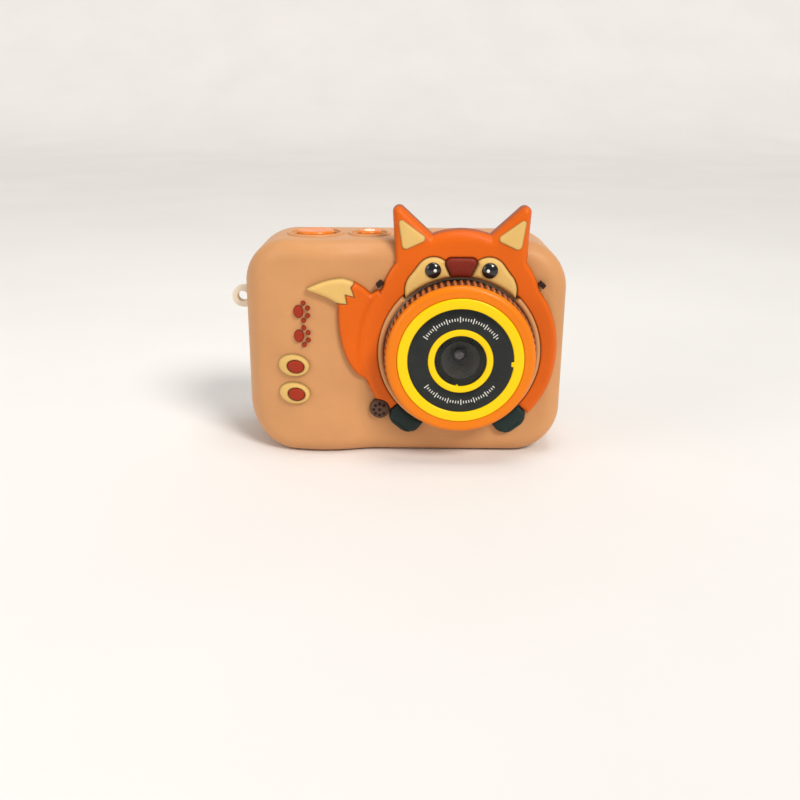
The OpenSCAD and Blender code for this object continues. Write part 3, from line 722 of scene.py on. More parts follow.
def board_material():
    """Green solder mask with copper runs under it."""
    n = Nodes("board_mask")
    flat = n.add("ShaderNodeMapping", {"Vector": n.coords, "Rotation": (math.pi / 2, 0, 0)})
    runs = n.add("ShaderNodeTexBrick", {
        "Vector": flat.outputs[0], "Scale": 260, "Mortar Size": 0.06, "Color1": rgb(14, 92, 48),
        "Color2": rgb(18, 104, 56), "Mortar": rgb(40, 132, 74),
    })
    return n.surface({
        "Base Color": runs.outputs["Color"],
        "Roughness": n.between(n.noise(400, 3), 0.25, 0.4),
        "Normal": n.bump(runs.outputs["Fac"], 0.00003, 0.4),
    })


def floor_material():
    n = Nodes("studio_floor")
    return n.surface({
        "Base Color": n.ramp(n.noise(6, 3), [(0.3, rgb(236, 234, 231)), (0.7, rgb(241, 239, 236))]),
        "Roughness": n.between(n.noise(30, 3), 0.75, 0.85),
    })


TAN = silicone("silicone_tan", rgb(208, 150, 98), rough=0.42)
ORANGE = silicone("silicone_orange", rgb(222, 98, 0), rough=0.42, outline=0.55)
CREAM = silicone("silicone_cream", rgb(224, 184, 108), mottle=0.04, outline=0.6)
CREAM_PLAIN = silicone("silicone_cream_lid", rgb(224, 184, 108), mottle=0.04)
BROWN = silicone("silicone_red_brown", rgb(160, 46, 18), rough=0.5, outline=0.4)
SNOUT = silicone("silicone_snout", rgb(122, 34, 16), rough=0.45, outline=0.5)
GREEN = silicone("silicone_dark_green", rgb(30, 46, 44), soft=0.02, outline=0.5)
BALL_GREY = silicone("silicone_grey_brown", rgb(98, 72, 56), soft=0.03, outline=0.5)
SPOT = silicone("silicone_dark_brown", rgb(44, 22, 14), soft=0.02)
EYE = plastic("eye_gloss", rgb(14, 13, 14), rough=0.12, grain=0.04, coat=0.6)
GLINT = plastic("glint_white", rgb(244, 242, 236), rough=0.3)
RING_ORANGE = plastic(
    "ring_orange_abs", rgb(234, 124, 0), rough=0.34, grain=0.22, coat=0.05, shine=0.25,
)
YELLOW = plastic("bezel_yellow_abs", rgb(250, 208, 0), rough=0.22, grain=0.1, coat=0.1, shine=0.2)
KNURL_SHADED = shaded_knurl_material()
PLATE = plate_material()
HOOD = hood_material()
MODULE_BLACK = plastic("module_black_abs", rgb(38, 38, 37), rough=0.5, grain=0.3)
CLEAR = clear_material("window_acrylic", (0.95, 0.97, 0.97, 1))
LENS = lens_material()
SCREEN = screen_material()
WHITE = plastic("housing_cream_abs", rgb(238, 226, 204), rough=0.42, grain=0.35, scale=2400)
KEY = plastic("key_orange_abs", rgb(238, 128, 24), rough=0.3, grain=0.15, coat=0.2)
KEY_MARK = plastic("key_mark_cream", rgb(250, 240, 218), rough=0.35)
STEEL = metal("plated_steel", rgb(200, 200, 202))
FOIL = metal("cell_foil", rgb(206, 208, 212), rough=0.38)
BOARD = board_material()
FOAM = plastic("foam_tape", rgb(52, 52, 54), rough=0.85, grain=1.0, scale=1400)
AMBER = plastic("flex_amber", rgb(178, 112, 34), rough=0.3)
WIRE = plastic("wire_red", rgb(176, 22, 20), rough=0.4)
CARD = plastic("card_black", rgb(30, 30, 33), rough=0.4, grain=0.3)
LABEL = plastic("card_label_grey", rgb(188, 190, 194), rough=0.45, grain=0.1)
GOLD = metal("contact_gold", rgb(214, 168, 82), rough=0.25)


# ---------- silicone sleeve ----------


def ray_radius(angles, d):
    """How far the outline, moved in by d, lies from the lens axis at each angle."""
    ux, uz = np.cos(angles), np.sin(angles)
    low, high = np.full(len(angles), 20.0), np.full(len(angles), 90.0)
    for _ in range(44):
        mid = (low + high) / 2
        out = inset(LX + mid * ux, LZ + mid * uz) < d
        high, low = np.where(out, mid, high), np.where(out, low, mid)
    return (low + high) / 2


def sleeve_angles(count):
    """Angles about the lens axis, spread evenly between equal angles and equal lengths of outline."""
    fine = np.linspace(0, 2 * np.pi, 6000)
    r = ray_radius(fine, 0)
    x, z = r * np.cos(fine), r * np.sin(fine)
    length = np.concatenate([[0], np.cumsum(np.hypot(np.diff(x), np.diff(z)))])
    share = (length / length[-1] + fine / (2 * np.pi)) / 2
    return np.interp(np.arange(count) / count, share, fine)


def silicone_sleeve():
    """Rings of points from the lens hole over the front, sides and lip, and back inside."""
    count = 640
    angles = sleeve_angles(count)
    ux, uz = np.cos(angles), np.sin(angles)

    def ring(radius, y):
        return np.column_stack([LX + radius * ux, np.broadcast_to(y, (count,)), LZ + radius * uz])

    def offset_ring(d, lift=None, y=None):
        radius = ray_radius(angles, d)
        x = LX + radius * ux
        return ring(radius, bulge(x) + lift if y is None else y)

    # The collar sinks under the face mask, over 47 degrees on either side of the top
    off_top = np.abs(np.degrees(angles) - 90)
    rise = COLLAR_RISE * (1 - smooth((47 - off_top) / 4)) + 0.05
    lip = (COLLAR_R - HOLE_R) / 2
    mid_r = (COLLAR_R + HOLE_R) / 2
    rings = [ring(HOLE_R, FRONT + SKIN), ring(HOLE_R, FRONT + 0.5), ring(HOLE_R, FRONT - rise * 0.6)]
    for a in np.radians(np.linspace(180, 0, 9)):
        drop = np.minimum(lip, rise * 0.4)
        rings.append(ring(mid_r + lip * math.cos(a), FRONT - rise + drop * (1 - math.sin(a))))
    foot = COLLAR_R + 0.35
    rings += [ring(COLLAR_R, FRONT - rise * 0.3), ring(COLLAR_R + 0.05, FRONT - 0.1), ring(foot, FRONT)]
    edge_start = ray_radius(angles, FRONT_ROUND)
    for t in np.linspace(0, 1, 34)[1:]:
        radius = foot + t * (edge_start - foot)
        rings.append(ring(radius, bulge(LX + radius * ux)))
    for a in np.radians(np.linspace(0, 90, 12)[1:]):
        rings.append(offset_ring(FRONT_ROUND * (1 - math.sin(a)), FRONT_ROUND * (1 - math.cos(a))))
    side_start = bulge(LX + ray_radius(angles, 0) * ux) + FRONT_ROUND
    side_end = BACK - REAR_ROUND
    for t in np.linspace(0, 1, 10)[1:]:
        rings.append(offset_ring(0, y=side_start + t * (side_end - side_start)))
    for a in np.radians(np.linspace(0, 90, 8)[1:]):
        rings.append(offset_ring(REAR_ROUND * (1 - math.cos(a)), y=side_end + REAR_ROUND * math.sin(a)))
    rings.append(offset_ring(LIP - LIP_ROUND, y=BACK))
    for a in np.radians(np.linspace(0, 90, 5)[1:]):
        across, back = 1 - math.sin(a), 1 - math.cos(a)
        rings.append(offset_ring(LIP - LIP_ROUND * across, y=BACK - LIP_ROUND * back))
    chamfer = 1.2
    rings += [offset_ring(LIP, y=BACK - SKIN), offset_ring(SKIN + chamfer, y=BACK - SKIN)]
    rings.append(offset_ring(SKIN, y=BACK - SKIN - chamfer))
    inner_end = bulge(LX + ray_radius(angles, SKIN) * ux) + SKIN + INNER_ROUND
    rings.append(offset_ring(SKIN, y=(BACK - SKIN - chamfer + inner_end) / 2))
    for a in np.radians(np.linspace(90, 0, 6)):
        across, back = 1 - math.sin(a), 1 - math.cos(a)
        rings.append(offset_ring(SKIN + INNER_ROUND * across, SKIN + INNER_ROUND * back))
    start = ray_radius(angles, SKIN + INNER_ROUND)
    for t in np.linspace(0, 1, 12)[1:-1]:
        radius = start + t * (HOLE_R - start)
        rings.append(ring(radius, bulge(LX + radius * ux) + SKIN))

    verts = np.vstack(rings)
    mesh = outward(raw_mesh("sleeve_raw", verts, ring_faces(len(rings), count, closed=True)))
    body = bpy.data.objects.new("sleeve_raw", mesh)
    bpy.context.scene.collection.objects.link(body)
    cutters = sleeve_cutters()
    for cutter in cutters:
        cut = body.modifiers.new("cut", "BOOLEAN")
        cut.operation, cut.solver, cut.object = "DIFFERENCE", "EXACT", cutter
    graph = bpy.context.evaluated_depsgraph_get()
    cut_mesh = bpy.data.meshes.new_from_object(body.evaluated_get(graph))
    cut_mesh.name = "sleeve_skin"
    for o in [body, *cutters]:
        bpy.data.objects.remove(o)
    return finish_mesh("sleeve_skin", cut_mesh, TAN, "sleeve_tan", replaces=["silicone_sleeve"], sharp=38)


def cutter_object(name, verts, faces):
    obj = bpy.data.objects.new(name, outward(raw_mesh(name, verts, faces)))
    bpy.context.scene.collection.objects.link(obj)
    return obj


def prism(outline, place0, place1, flare=0.6):
    """Steps of an outline(grow) at several places, flared over its last flare millimetres."""
    steps = [
        (place0, 0), (place1 - flare, 0), (place1 - flare * 0.45, flare * 0.2),
        (place1, flare), (place1 + 1, flare * 2.6),
    ]
    return [(p, outline(g)) for p, g in steps]


def capped(rings):
    """Closed mesh through rings of equally many points."""
    count = len(rings[0])
    verts = np.vstack(rings)
    faces = ring_faces(len(rings), count)
    faces.append(tuple(range(count))[::-1])
    faces.append(tuple(range((len(rings) - 1) * count, len(rings) * count)))
    return verts, faces


def loft(steps, axis):
    """Rings of points from outlines (place, points) stacked along an axis."""
    rings = []
    for place, points in steps:
        flat, a, b = np.full(len(points), place), points[:, 0], points[:, 1]
        rings.append(np.column_stack({"x": (flat, a, b), "y": (a, flat, b), "z": (a, b, flat)}[axis]))
    return rings


def lofted_piece(name, steps, axis, material, slot, **facts):
    mesh = outward(raw_mesh(name, *capped(loft(steps, axis))))
    return finish_mesh(name, mesh, material, slot, **facts)


def slot_steps(pairs, w, h, r, centre, n=12):
    """Steps (place, outline) of a round-cornered rectangle, from pairs (place, grow)."""
    return [(place, slot_outline(w, h, r, grow, n) + centre) for place, grow in pairs]


def slot_outline(w, h, r, grow, n=12):
    """Points round a rectangle with round corners."""
    w, h, r = w / 2 + grow, h / 2 + grow, r + grow
    out = []
    for cx, cz, start in ((w - r, h - r, 0), (r - w, h - r, 90), (r - w, r - h, 180), (w - r, r - h, 270)):
        for a in np.radians(np.linspace(start, start + 90, n)):
            out.append((cx + r * math.cos(a), cz + r * math.sin(a)))
    return np.array(out)


def button_facts(node):
    """Centre x and the cap's radius of a top button."""
    return middle_mm(node)[0], half_mm(node)[0] - FLANGE


def port_window():
    """Centre (y, z), width and height of the opening on the right end."""
    top, low = middle_mm("memory_card")[2], middle_mm("usb_port")[2]
    board_front = box_mm("main_board")[0][1]
    return (board_front - 1.5, (top + low) / 2), 8, top - low + 16


def sleeve_cutters():
    """Solids that cut the button holes, the port window and the strap eye's slot."""
    out = []
    floor = TOP - SKIN - 2
    for name in BUTTONS:
        x, r = button_facts(name)
        profile = [
            (0, floor), (r + 1.2, floor), (r + 1.2, TOP - 0.6),
            (r + 1.32, TOP - 0.27), (r + 1.8, TOP), (r + 2.4, TOP + 1), (0, TOP + 1),
        ]
        out.append(cutter_object("cut_" + name, *turn(profile, (x, 0, 0), "z", 72)))
    centre, w, h = port_window()
    window = prism(lambda g: slot_outline(w, h, 2.5, g) + centre, RIGHT - SKIN - 1, RIGHT)
    out.append(cutter_object("cut_ports", *capped(loft(window, "x"))))
    lug = (0, middle_mm("strap_lug")[2])
    slit = prism(lambda g: slot_outline(3.3, 6.7, 0.6, g) + lug, RIGHT - SKIN - 1, RIGHT, 0.5)
    slit = [(-place, outline) for place, outline in slit]
    out.append(cutter_object("cut_lug", *capped(loft(slit, "x"))))
    return out


def rim_profile(inner, width, height, base):
    """Half-round bead (radius, place) standing on base."""
    half = width / 2
    bead = half_ring((inner + half, base), half, height, 9)[::-1]
    return [(inner, base - 0.6), (inner + width, base - 0.6), *bead]


def button_rims():
    for name in BUTTONS:
        x, r = button_facts(name)
        rim = rim_profile(r + 1.7, 1.3, 0.55, TOP)
        turned_piece(name + "_rim", rim, (x, 0, 0), TAN, "sleeve_tan", "z", count=96)


# ---------- fox figure ----------

FIGURE_BOX = (-45, -22, 29.5, 43)


def sd_taken(p):
    """What is cut out of the orange figure for its neighbours."""
    parts = [
        sd_circle(p, (0, 0), COLLAR_R + 0.05), sd_mask(p), sd_polygon(p, NOSE),
        sd_tab(p, -1), sd_tab(p, 1), sd_circle(p, BALL, BALL_R), sd_polygon(p, TAIL_TIP),
    ]
    return np.minimum.reduce(parts)


def figure_top(p, outer, inner):
    """Front surface of the figure: rounded outer edges, plumper on the head and ears."""
    x = p[:, 0] + LX
    edge_r = 1.5
    r = edge_r + 2.3 * smooth((p[:, 1] - ROOF + 9) / 11)
    height = FIGURE_T * dome(outer, edge_r, 0.3)
    drop = np.where(r > edge_r, (1 - dome(outer, r, 0)) * (r - edge_r) * 0.9, 0)
    on_tail = sd_polygon(p, TAIL) < 0
    crease = 0.4 * np.exp(-((sd_circle(p, BELLY, BELLY_R) / 0.9) ** 2)) * on_tail
    lower = 0.35 * (1 - dome(inner, 0.5, 0))
    return sleeve_front(x) - height + drop + crease + lower


def figure_back(p, outer):
    """Back of the figure: in the sleeve, and behind the head above the sleeve's top."""
    x, z = p[:, 0] + LX, p[:, 1] + LZ
    sunk = sleeve_surface(x, np.minimum(z, TOP)) + SUNK
    ear_depth, rear_r = 9, 3.4
    rear = FRONT - FIGURE_T + ear_depth - rear_r * (1 - dome(outer, rear_r, 0))
    above = np.clip((z - TOP + 0.6) / 0.6, 0, 1)
    return sunk + (rear - sunk) * above


def fox_figure():
    def sd_body(p):
        return np.maximum(sd_figure(p), -sd_taken(p))

    def sd_tip(p):
        return np.maximum(sd_polygon(p, TAIL), sd_polygon(p, TAIL_TIP))

    relief(
        "fox_figure", sd_body, FIGURE_BOX,
        lambda p, d: figure_top(p, -sd_figure(p), sd_taken(p)),
        lambda p, d: figure_back(p, -sd_figure(p)),
        ORANGE, "fox_orange", levels=(0.0, 0.06, 0.22, 0.5, 0.9, 1.5), replaces=["fox_body"],
    )
    relief(
        "fox_tail_tip", sd_tip, (-45, 13, -28, 23),
        lambda p, d: figure_top(p, -sd_polygon(p, TAIL), -sd_polygon(p, TAIL_TIP)) - 0.04,
        into_sleeve, CREAM, "fox_cream", step=0.3, replaces=["tail_tip"],
    )


def fox_face():
    def off_ring(sd, p):
        return np.maximum(sd, -sd_circle(p, (0, 0), RING_R + 1.05))

    def cheek_top(p, d):
        crown = 0.35 * np.exp(-(((np.abs(p[:, 0]) - 9.5) / 5) ** 2) - ((p[:, 1] - 20) / 6) ** 2)
        return FRONT - MASK_T * dome(d, 1.3, 0.45) - crown + 0.15

    def snout_top(p, d):
        return FRONT - (MASK_T + 0.1) * dome(d, 0.8, 0.6) - 0.7 * (1 - np.exp(-d / 0.9))

    relief(
        "fox_cheeks", lambda p: np.maximum(off_ring(sd_mask(p), p), -sd_polygon(p, NOSE)),
        (-17.5, 12, 17.5, 29), cheek_top, into_sleeve, CREAM, "fox_cream", step=0.3, replaces=["face_mask"],
    )
    relief(
        "fox_snout", lambda p: off_ring(sd_polygon(p, NOSE), p), (-5, 20, 5, 28.6), snout_top, into_sleeve,
        SNOUT, "fox_brown", step=0.2, levels=(0, 0.05, 0.2, 0.45, 0.8), replaces=["fox_nose"],
    )
    for s, side in SIDES:
        eye(s, side)
    for s, side in SIDES:
        ear_inlay(s, side)
    for s, side in SIDES:
        relief(
            "cheek_tab_" + side, lambda p: sd_tab(p, s),
            (s * TAB_X - 1.6, TAB_Z - 1.6, s * TAB_X + 1.6, TAB_Z + 1.6),
            lambda p, d: sleeve_front(p[:, 0] + LX) - (FIGURE_T + 0.1) * dome(d, 0.35, 0.8),
            into_sleeve, SPOT, "spot_brown", step=0.15, levels=(0, 0.05, 0.15, 0.35), sharp=40,
            replaces=["cheek_tabs"] if s < 0 else [],
        )


def eye(s, side):
    """Domed eye with a thin lid round it and a white glint on it."""
    y0, r = MASK_Y, EYE_R
    cx, cz = LX + s * EYE_X, middle_mm("fox_eyes")[2]
    crown = arc((0, y0 + r), EYE_SPHERE, 270, 309, 9)[1:]
    ball = [(0, y0 - 1.2), *crown, (r, y0 - 0.2), (r, y0 + 0.6), (0, y0 + 0.6)]
    turned_piece("eye_" + side, ball, (cx, 0, cz), EYE, "eye_black", count=72,
                 replaces=["fox_eyes"] if s < 0 else [])
    lid = [(rr, y0 + 0.12 - place) for rr, place in rim_profile(r - 0.05, 0.5, 0.28, 0)]
    turned_piece("eyelid_" + side, lid, (cx, 0, cz), CREAM_PLAIN, "fox_cream", count=72)
    dot = [(0, -1.38), (0.25, -1.36), (0.42, -1.27), (0.48, -1.1), (0.48, -0.7), (0, -0.7)]
    dot = [(rr, y0 + place) for rr, place in dot]
    turned_piece("glint_" + side, dot, (cx - s * 0.55, 0, cz + 0.1), GLINT, "eye_white", count=32,
                 replaces=["eye_glints"] if s < 0 else [])


def ear_inlay(s, side):
    outline = inlay_outline(s)
    xs = outline[:, 0]

    def ear_front(p):
        return figure_top(p, -sd_figure(p), np.full(len(p), 9.0))

    relief(
        "ear_inlay_" + side, lambda p: sd_polygon(p, outline),
        (xs.min() - 0.5, ROOF - 3, xs.max() + 0.5, ROOF + 7.5),
        lambda p, d: ear_front(p) - 0.42 * dome(d, 0.7, 0.1), lambda p, d: ear_front(p) + 0.6,
        CREAM, "fox_cream", step=0.22, levels=(0, 0.05, 0.2, 0.45, 0.7),
        replaces=["inner_ears"] if s < 0 else [],
    )


def fox_feet():
    for s, side in SIDES:
        boot(s, side)
    ball_r, hump, squash = BALL_R - 0.02, 2.2, 1.5

    def on_ball(p):
        """Front of the ball: flat in the middle, falling away to its rim."""
        fall = squash * (1 - dome(-sd_circle(p, BALL, ball_r), hump, 0)) ** 1.1
        return sleeve_front(p[:, 0] + LX) - (FIGURE_T + 0.1) + fall

    relief(
        "spotted_ball_body", lambda p: sd_circle(p, BALL, ball_r),
        (BALL[0] - 3.5, BALL[1] - 3.5, BALL[0] + 3.5, BALL[1] + 3.5), lambda p, d: on_ball(p),
        into_sleeve, BALL_GREY, "ball_brown", step=0.25, replaces=["spotted_ball"],
    )
    for i, place in enumerate([(0, 0), *arc((0, 0), 1.75, 45, 315, 7)]):
        cx, cz = BALL[0] + place[0], BALL[1] + place[1]
        relief(
            f"ball_spot_{i}", lambda p: sd_circle(p, (cx, cz), 0.52),
            (cx - 0.7, cz - 0.7, cx + 0.7, cz + 0.7), lambda p, d: on_ball(p) - 0.14 * dome(d, 0.3, 0.2),
            lambda p, d: sleeve_front(p[:, 0] + LX) - (FIGURE_T + 0.1) + 1.9, SPOT, "spot_brown",
            step=0.12, levels=(0, 0.05, 0.15, 0.3), sharp=40, replaces=["ball_spots"] if i == 0 else [],
        )


def boot(s, side):
    """Boot that comes out from under the collar, with a welt round its toe."""
    def sd_shoe(p):
        cut = [-sd_circle(p, (0, 0), COLLAR_R + 0.05), -sd_belly(p)]
        if s < 0:
            cut += [-sd_circle(p, BALL, BALL_R + 0.1), -sd_polygon(p, TAIL)]
        return np.maximum.reduce([sd_boot(p, s), *cut])

    def shoe_top(p, d):
        q = along_boot(p, s)
        welt = 0.28 * np.exp(-(((q[:, 0] - 27.9) / 0.28) ** 2))
        toe = 0.35 * np.exp(-(((q[:, 0] - 26.2) / 1.6) ** 2) - (q[:, 1] / 3.6) ** 2)
        return sleeve_front(p[:, 0] + LX) - (FIGURE_T - 0.35) * dome(d, 1.3, 0.3) - toe + welt

    relief(
        "boot_" + side, sd_shoe, (min(9 * s, 24 * s), -26, max(9 * s, 24 * s), -14), shoe_top,
        into_sleeve, GREEN, "boot_green", step=0.25, replaces=["fox_boots"] if s < 0 else [],
    )


def squash_plane(p, a, b, centre):
    """Distance to an oval with half axes a and b, near enough for rounding its edge."""
    q = (p - np.array(centre)) / np.array([a, b])
    length = np.hypot(q[:, 0], q[:, 1])
    return (length - 1) * min(a, b) * (0.5 + 0.5 * np.minimum(length, 1))


def grip_pad(i, cx, z):
    """Oval pad with a brown oval let into it."""
    def sd_outer(p):
        return squash_plane(p, 4.8, 3.4, (cx, z))

    def sd_inner(p, less=0.0):
        return squash_plane(p, 2.62 - less, 2.02 - less, (cx + 0.6, z - 0.2))

    def pad_top(p, d):
        dip = 0.3 * (1 - dome(sd_inner(p), 0.4, 0))
        return bulge(p[:, 0] + LX) - 1.4 * dome(-sd_outer(p), 1.3, 0.3) + dip

    relief(
        f"grip_pad_{i}", lambda p: np.maximum(sd_outer(p), -sd_inner(p)),
        (cx - 5.3, z - 3.9, cx + 5.3, z + 3.9), pad_top,
        into_sleeve, CREAM, "fox_cream", step=0.25, replaces=["grip_pads"] if i == 0 else [],
    )
    relief(
        f"grip_pad_centre_{i}", lambda p: sd_inner(p, 0.04), (cx - 2.4, z - 2.6, cx + 3.6, z + 2.2),
        lambda p, d: bulge(p[:, 0] + LX) - 1.7 * dome(d, 1.2, 0.55),
        lambda p, d: bulge(p[:, 0] + LX) - 0.3, BROWN, "fox_brown", step=0.2,
        replaces=["grip_pad_centres"] if i == 0 else [],
    )


def grip_paw(i, cx, z):
    """Paw print: a pad and four toes that point to the right."""
    turns = [math.radians(a) for a in (25, 67, 113, 155)]
    toes = [(2.8 * math.cos(a), 0.4 + 2.5 * math.sin(a)) for a in turns]

    def sd_paw(p):
        q = turned(p, -90, (cx, z))
        pad = (np.hypot(q[:, 0] / 1.9, q[:, 1] / 1.5) - 1) * 1.5
        return np.minimum.reduce([pad, *[sd_circle(q, t, 0.72) for t in toes]])

    relief(
        f"grip_paw_{i}", sd_paw, (cx - 4.4, z - 4.2, cx + 4.4, z + 4.2),
        lambda p, d: bulge(p[:, 0] + LX) - 0.95 * dome(d, 0.6, 0.35),
        into_sleeve, BROWN, "fox_brown", step=0.13, levels=(0, 0.05, 0.15, 0.35, 0.6),
        replaces=["grip_motif"] if i == 0 else [],
    )


def grip_trim():
    """Two stacked ovals and two paw prints on the grip."""
    for i, z in enumerate((-4.0, -12.5)):
        grip_pad(i, LEFT + 14.8 - LX, z)
    for i, z in enumerate((4.9, 12.1)):
        grip_paw(i, LEFT + 16.6 - LX, z)


# ---------- lens ----------


def rib(angles, r, place):
    """Ribs of the knurled ring: grooves cut into the part outside RING_R - 1."""
    wave = np.abs((angles * RIBS / (2 * np.pi)) % 1 - 0.5) * 2
    bump = smooth((wave - 0.3) / 0.4)
    return np.where(r > RING_R - 1, r - 0.6 * (1 - bump) * (r - (RING_R - 1)), r)


def lens_pieces():
    y = LENS_Y
    bezel_r, plate_r, inner_r = RING_R - 3.4, half_mm("lens_plate")[0], half_mm("inner_yellow_ring")[0]
    bore = inner_r - 1.85
    back, holder = box_mm("lens_hood")[1][1], box_mm("camera_module")[0][1]
    glass = box_mm("objective_lens")[0][1]

    def piece(name, profile, material, slot, **options):
        turned_piece(name, profile, (LX, 0, LZ), material, slot, **options)

    y0, y1 = (corner[1] for corner in box_mm("knurled_ring"))
    tube, crest = RING_R - 1.85, RING_R + 0.36
    knurl = [
        (tube, y0), (RING_R - 0.7, y0), (RING_R + 0.05, y0 + 0.3), (crest, y0 + 0.8),
        (crest, y1 - 1.2), (RING_R + 0.1, y1 - 0.6), (RING_R - 0.9, y1 - 0.1), (tube, y1),
    ]
    piece("knurl", knurl, KNURL_SHADED, "knurl_brown", count=RIBS * 10, wobble=rib,
          replaces=["knurled_ring"], sharp=60)
    front = [
        (bezel_r + 0.05, y + 2.5), (bezel_r + 0.05, y + 0.75),
        *arc((bezel_r + 0.4, y + 0.7), 0.35, 180, 270, 5)[1:],
        (RING_R - 2.2, y + 0.38), *arc((RING_R - 1.55, y + 1.85), 1.5, 258, 352, 9),
        (RING_R - 0.05, y + 2.5),
    ]
    piece("front_ring_body", front, RING_ORANGE, "barrel_orange", count=224, replaces=["front_ring"])
    bezel = [
        (plate_r + 0.05, y + 1.6), (plate_r + 0.05, y + 0.4),
        *arc((plate_r + 0.45, y + 0.4), 0.4, 180, 270, 5),
        *arc((bezel_r - 0.5, y + 0.5), 0.5, 270, 360, 6), (bezel_r, y + 2.4), (bezel_r - 2.5, y + 2.4),
        (bezel_r - 2.5, y + 6), (bezel_r - 3.8, y + 6), (bezel_r - 3.8, y + 1.6),
    ]
    piece("bezel", bezel, YELLOW, "bezel_yellow", count=224, replaces=["yellow_bezel"])
    key_tab(plate_r, y)
    plate = [
        (inner_r + 0.05, y + 1.6), (inner_r + 0.05, y + 0.25), (inner_r + 0.15, y + 0.2),
        (plate_r - 0.1, y + 0.2), (plate_r, y + 0.25), (plate_r, y + 1.6),
    ]
    piece("plate", plate, PLATE, "plate_black", count=192, replaces=["lens_plate"])
    inner = [
        (bore, y + 1.6), (bore, y + 0.35), *arc((bore + 0.3, y + 0.35), 0.3, 180, 270, 4),
        *arc((inner_r - 0.3, y + 0.35), 0.3, 270, 360, 4), (inner_r, y + 1.6),
    ]
    piece("inner_ring", inner, YELLOW, "bezel_yellow", replaces=["inner_yellow_ring"])
    edge = bore - 0.06
    window = [(0, y + 0.5), (bore - 0.3, y + 0.5), (edge, y + 0.62), (edge, y + 1.55), (0, y + 1.55)]
    piece("window", window, CLEAR, "window_clear", count=128, replaces=["lens_window"])
    mouth, end, grooves = y + 1.6, holder - 0.1, 7
    funnel = []
    for i in range(grooves):
        for part, groove in ((0, 0), (0.75, 0), (0.8, 0.16), (1 - 0.001 * grooves, 0.16)):
            t = (i + part) / grooves
            funnel.append((5.45 - 2.75 * t + groove, mouth + (end - mouth) * t))
    hood = [
        *funnel, (2.7, end), (3.5, holder), (3.5, back), (7.2, back),
        (7.2, y + 2.8), (16.0, y + 2.8), (16.0, y + 1.62), (5.6, y + 1.62),
    ]
    piece("hood", hood, HOOD, "hood_black", count=128, replaces=["lens_hood"], sharp=50)
    turns = np.linspace(0.15, 1.5, 9)
    crown = [(2.0 * math.sin(a), glass + 0.75 * (1 - math.cos(a))) for a in turns]
    objective = [(0, glass), *crown, (2.05, holder - 0.02), (0, holder - 0.02)]
    piece("objective", objective, LENS, "lens_glass", count=96, replaces=["objective_lens"])
    rim = [*arc((1.55, glass + 0.02), 0.2, 180, 360, 7), (1.75, glass + 0.4), (1.35, glass + 0.4)]
    piece("objective_ring", [(1.35, glass + 0.02), *rim], MODULE_BLACK, "hood_black", count=96)


def key_tab(plate_r, y):
    """The bezel's small key on the right of the plate, and the tick under the inner ring."""
    pairs = ((y + 0.9, 0), (y + 0.3, 0), (y + 0.1, -0.08), (y + 0.04, -0.22))
    for name, x, z, w, h in (
        ("bezel_key", plate_r - 0.05, -0.8, 1.3, 1.5), ("ring_tick", -0.9, -7.2, 0.55, 0.7),
    ):
        steps = slot_steps(pairs, w, h, 0.25, (LX + x, LZ + z), 5)
        lofted_piece(name, steps, "y", YELLOW, "bezel_yellow")


# ---------- buttons and keys ----------


def top_buttons():
    for name in BUTTONS:
        x, r = button_facts(name)
        foot, top = (corner[2] for corner in box_mm(name))
        shelf = TOP - 2.15 - SHELL_WALL - 0.1
        dish = [(r * k, top - drop) for k, drop in ((0.82, 0.14), (0.72, 0.22), (0.45, 0.34), (0.2, 0.4))]
        profile = [
            (0, foot), (1.5, foot), (1.5, shelf - 0.8), (r + FLANGE, shelf - 0.8), (r + FLANGE, shelf),
            (r, shelf), (r, top - 1.0), *arc((r - 0.7, top - 0.9), 0.7, 0, 75, 6), *dish, (0, top - 0.41),
        ]
        turned_piece(name + "_cap", profile, (x, 0, 0), KEY, "key_orange", "z", count=96,
                     body=name, replaces=[name])
    power_mark()


def power_mark():
    """Raised ring with a short bar, on the power button."""
    x, top = button_facts("power_button")[0], box_mm("power_button")[1][2]
    profile = [(1.15, top - 0.5), *half_ring((1.4, top - 0.3), 0.25, 0.22), (1.65, top - 0.5)]
    facts = {"slot": "housing_white", "body": "power_button"}
    turned_piece("power_mark_ring", profile, (x, 0, 0), KEY_MARK, axis="z", count=64, **facts)
    pairs = ((top - 0.55, 0), (top - 0.15, 0), (top - 0.06, -0.08))
    lofted_piece("power_mark_bar", slot_steps(pairs, 0.5, 1.5, 0.2, (x, 1.25), 5), "z", KEY_MARK, **facts)


MARKS = {
    "up_key": ("arrow", 90), "down_key": ("arrow", -90), "left_key": ("arrow", 180),
    "right_key": ("arrow", 0), "ok_key": ("ring", 0), "mode_key": ("bars", 0), "play_key": ("arrow", 180),
}
ROUND_KEYS = ("ok_key", "mode_key", "play_key")


def rear_keys():
    """Pillow-topped keys with small raised marks."""
    seat = REAR_FACE - SHELL_WALL - 0.1
    for name in MARKS:
        foot, top = (corner[1] for corner in box_mm(name))
        half, centre = half_mm(name)[0] - 0.6, middle_mm(name)[[0, 2]]
        corner = half if name in ROUND_KEYS else 1.5
        stem = slot_steps(((foot, 0), (seat - 0.8, 0)), 2.4, 2.4, 1.19, centre)
        pairs = (
            (seat - 0.8, 0.6), (seat, 0.6), (seat, 0), (top - 0.9, 0), (top - 0.55, -0.06),
            (top - 0.3, -0.22), (top - 0.14, -0.5), (top - 0.06, -0.95), (top - 0.02, -1.5),
        )
        cap = slot_steps(pairs, 2 * half, 2 * half, corner - 0.001, centre)
        lofted_piece(name + "_cap", stem + cap, "y", KEY, "key_orange", body=name, replaces=[name])
        key_mark(name, centre, top)


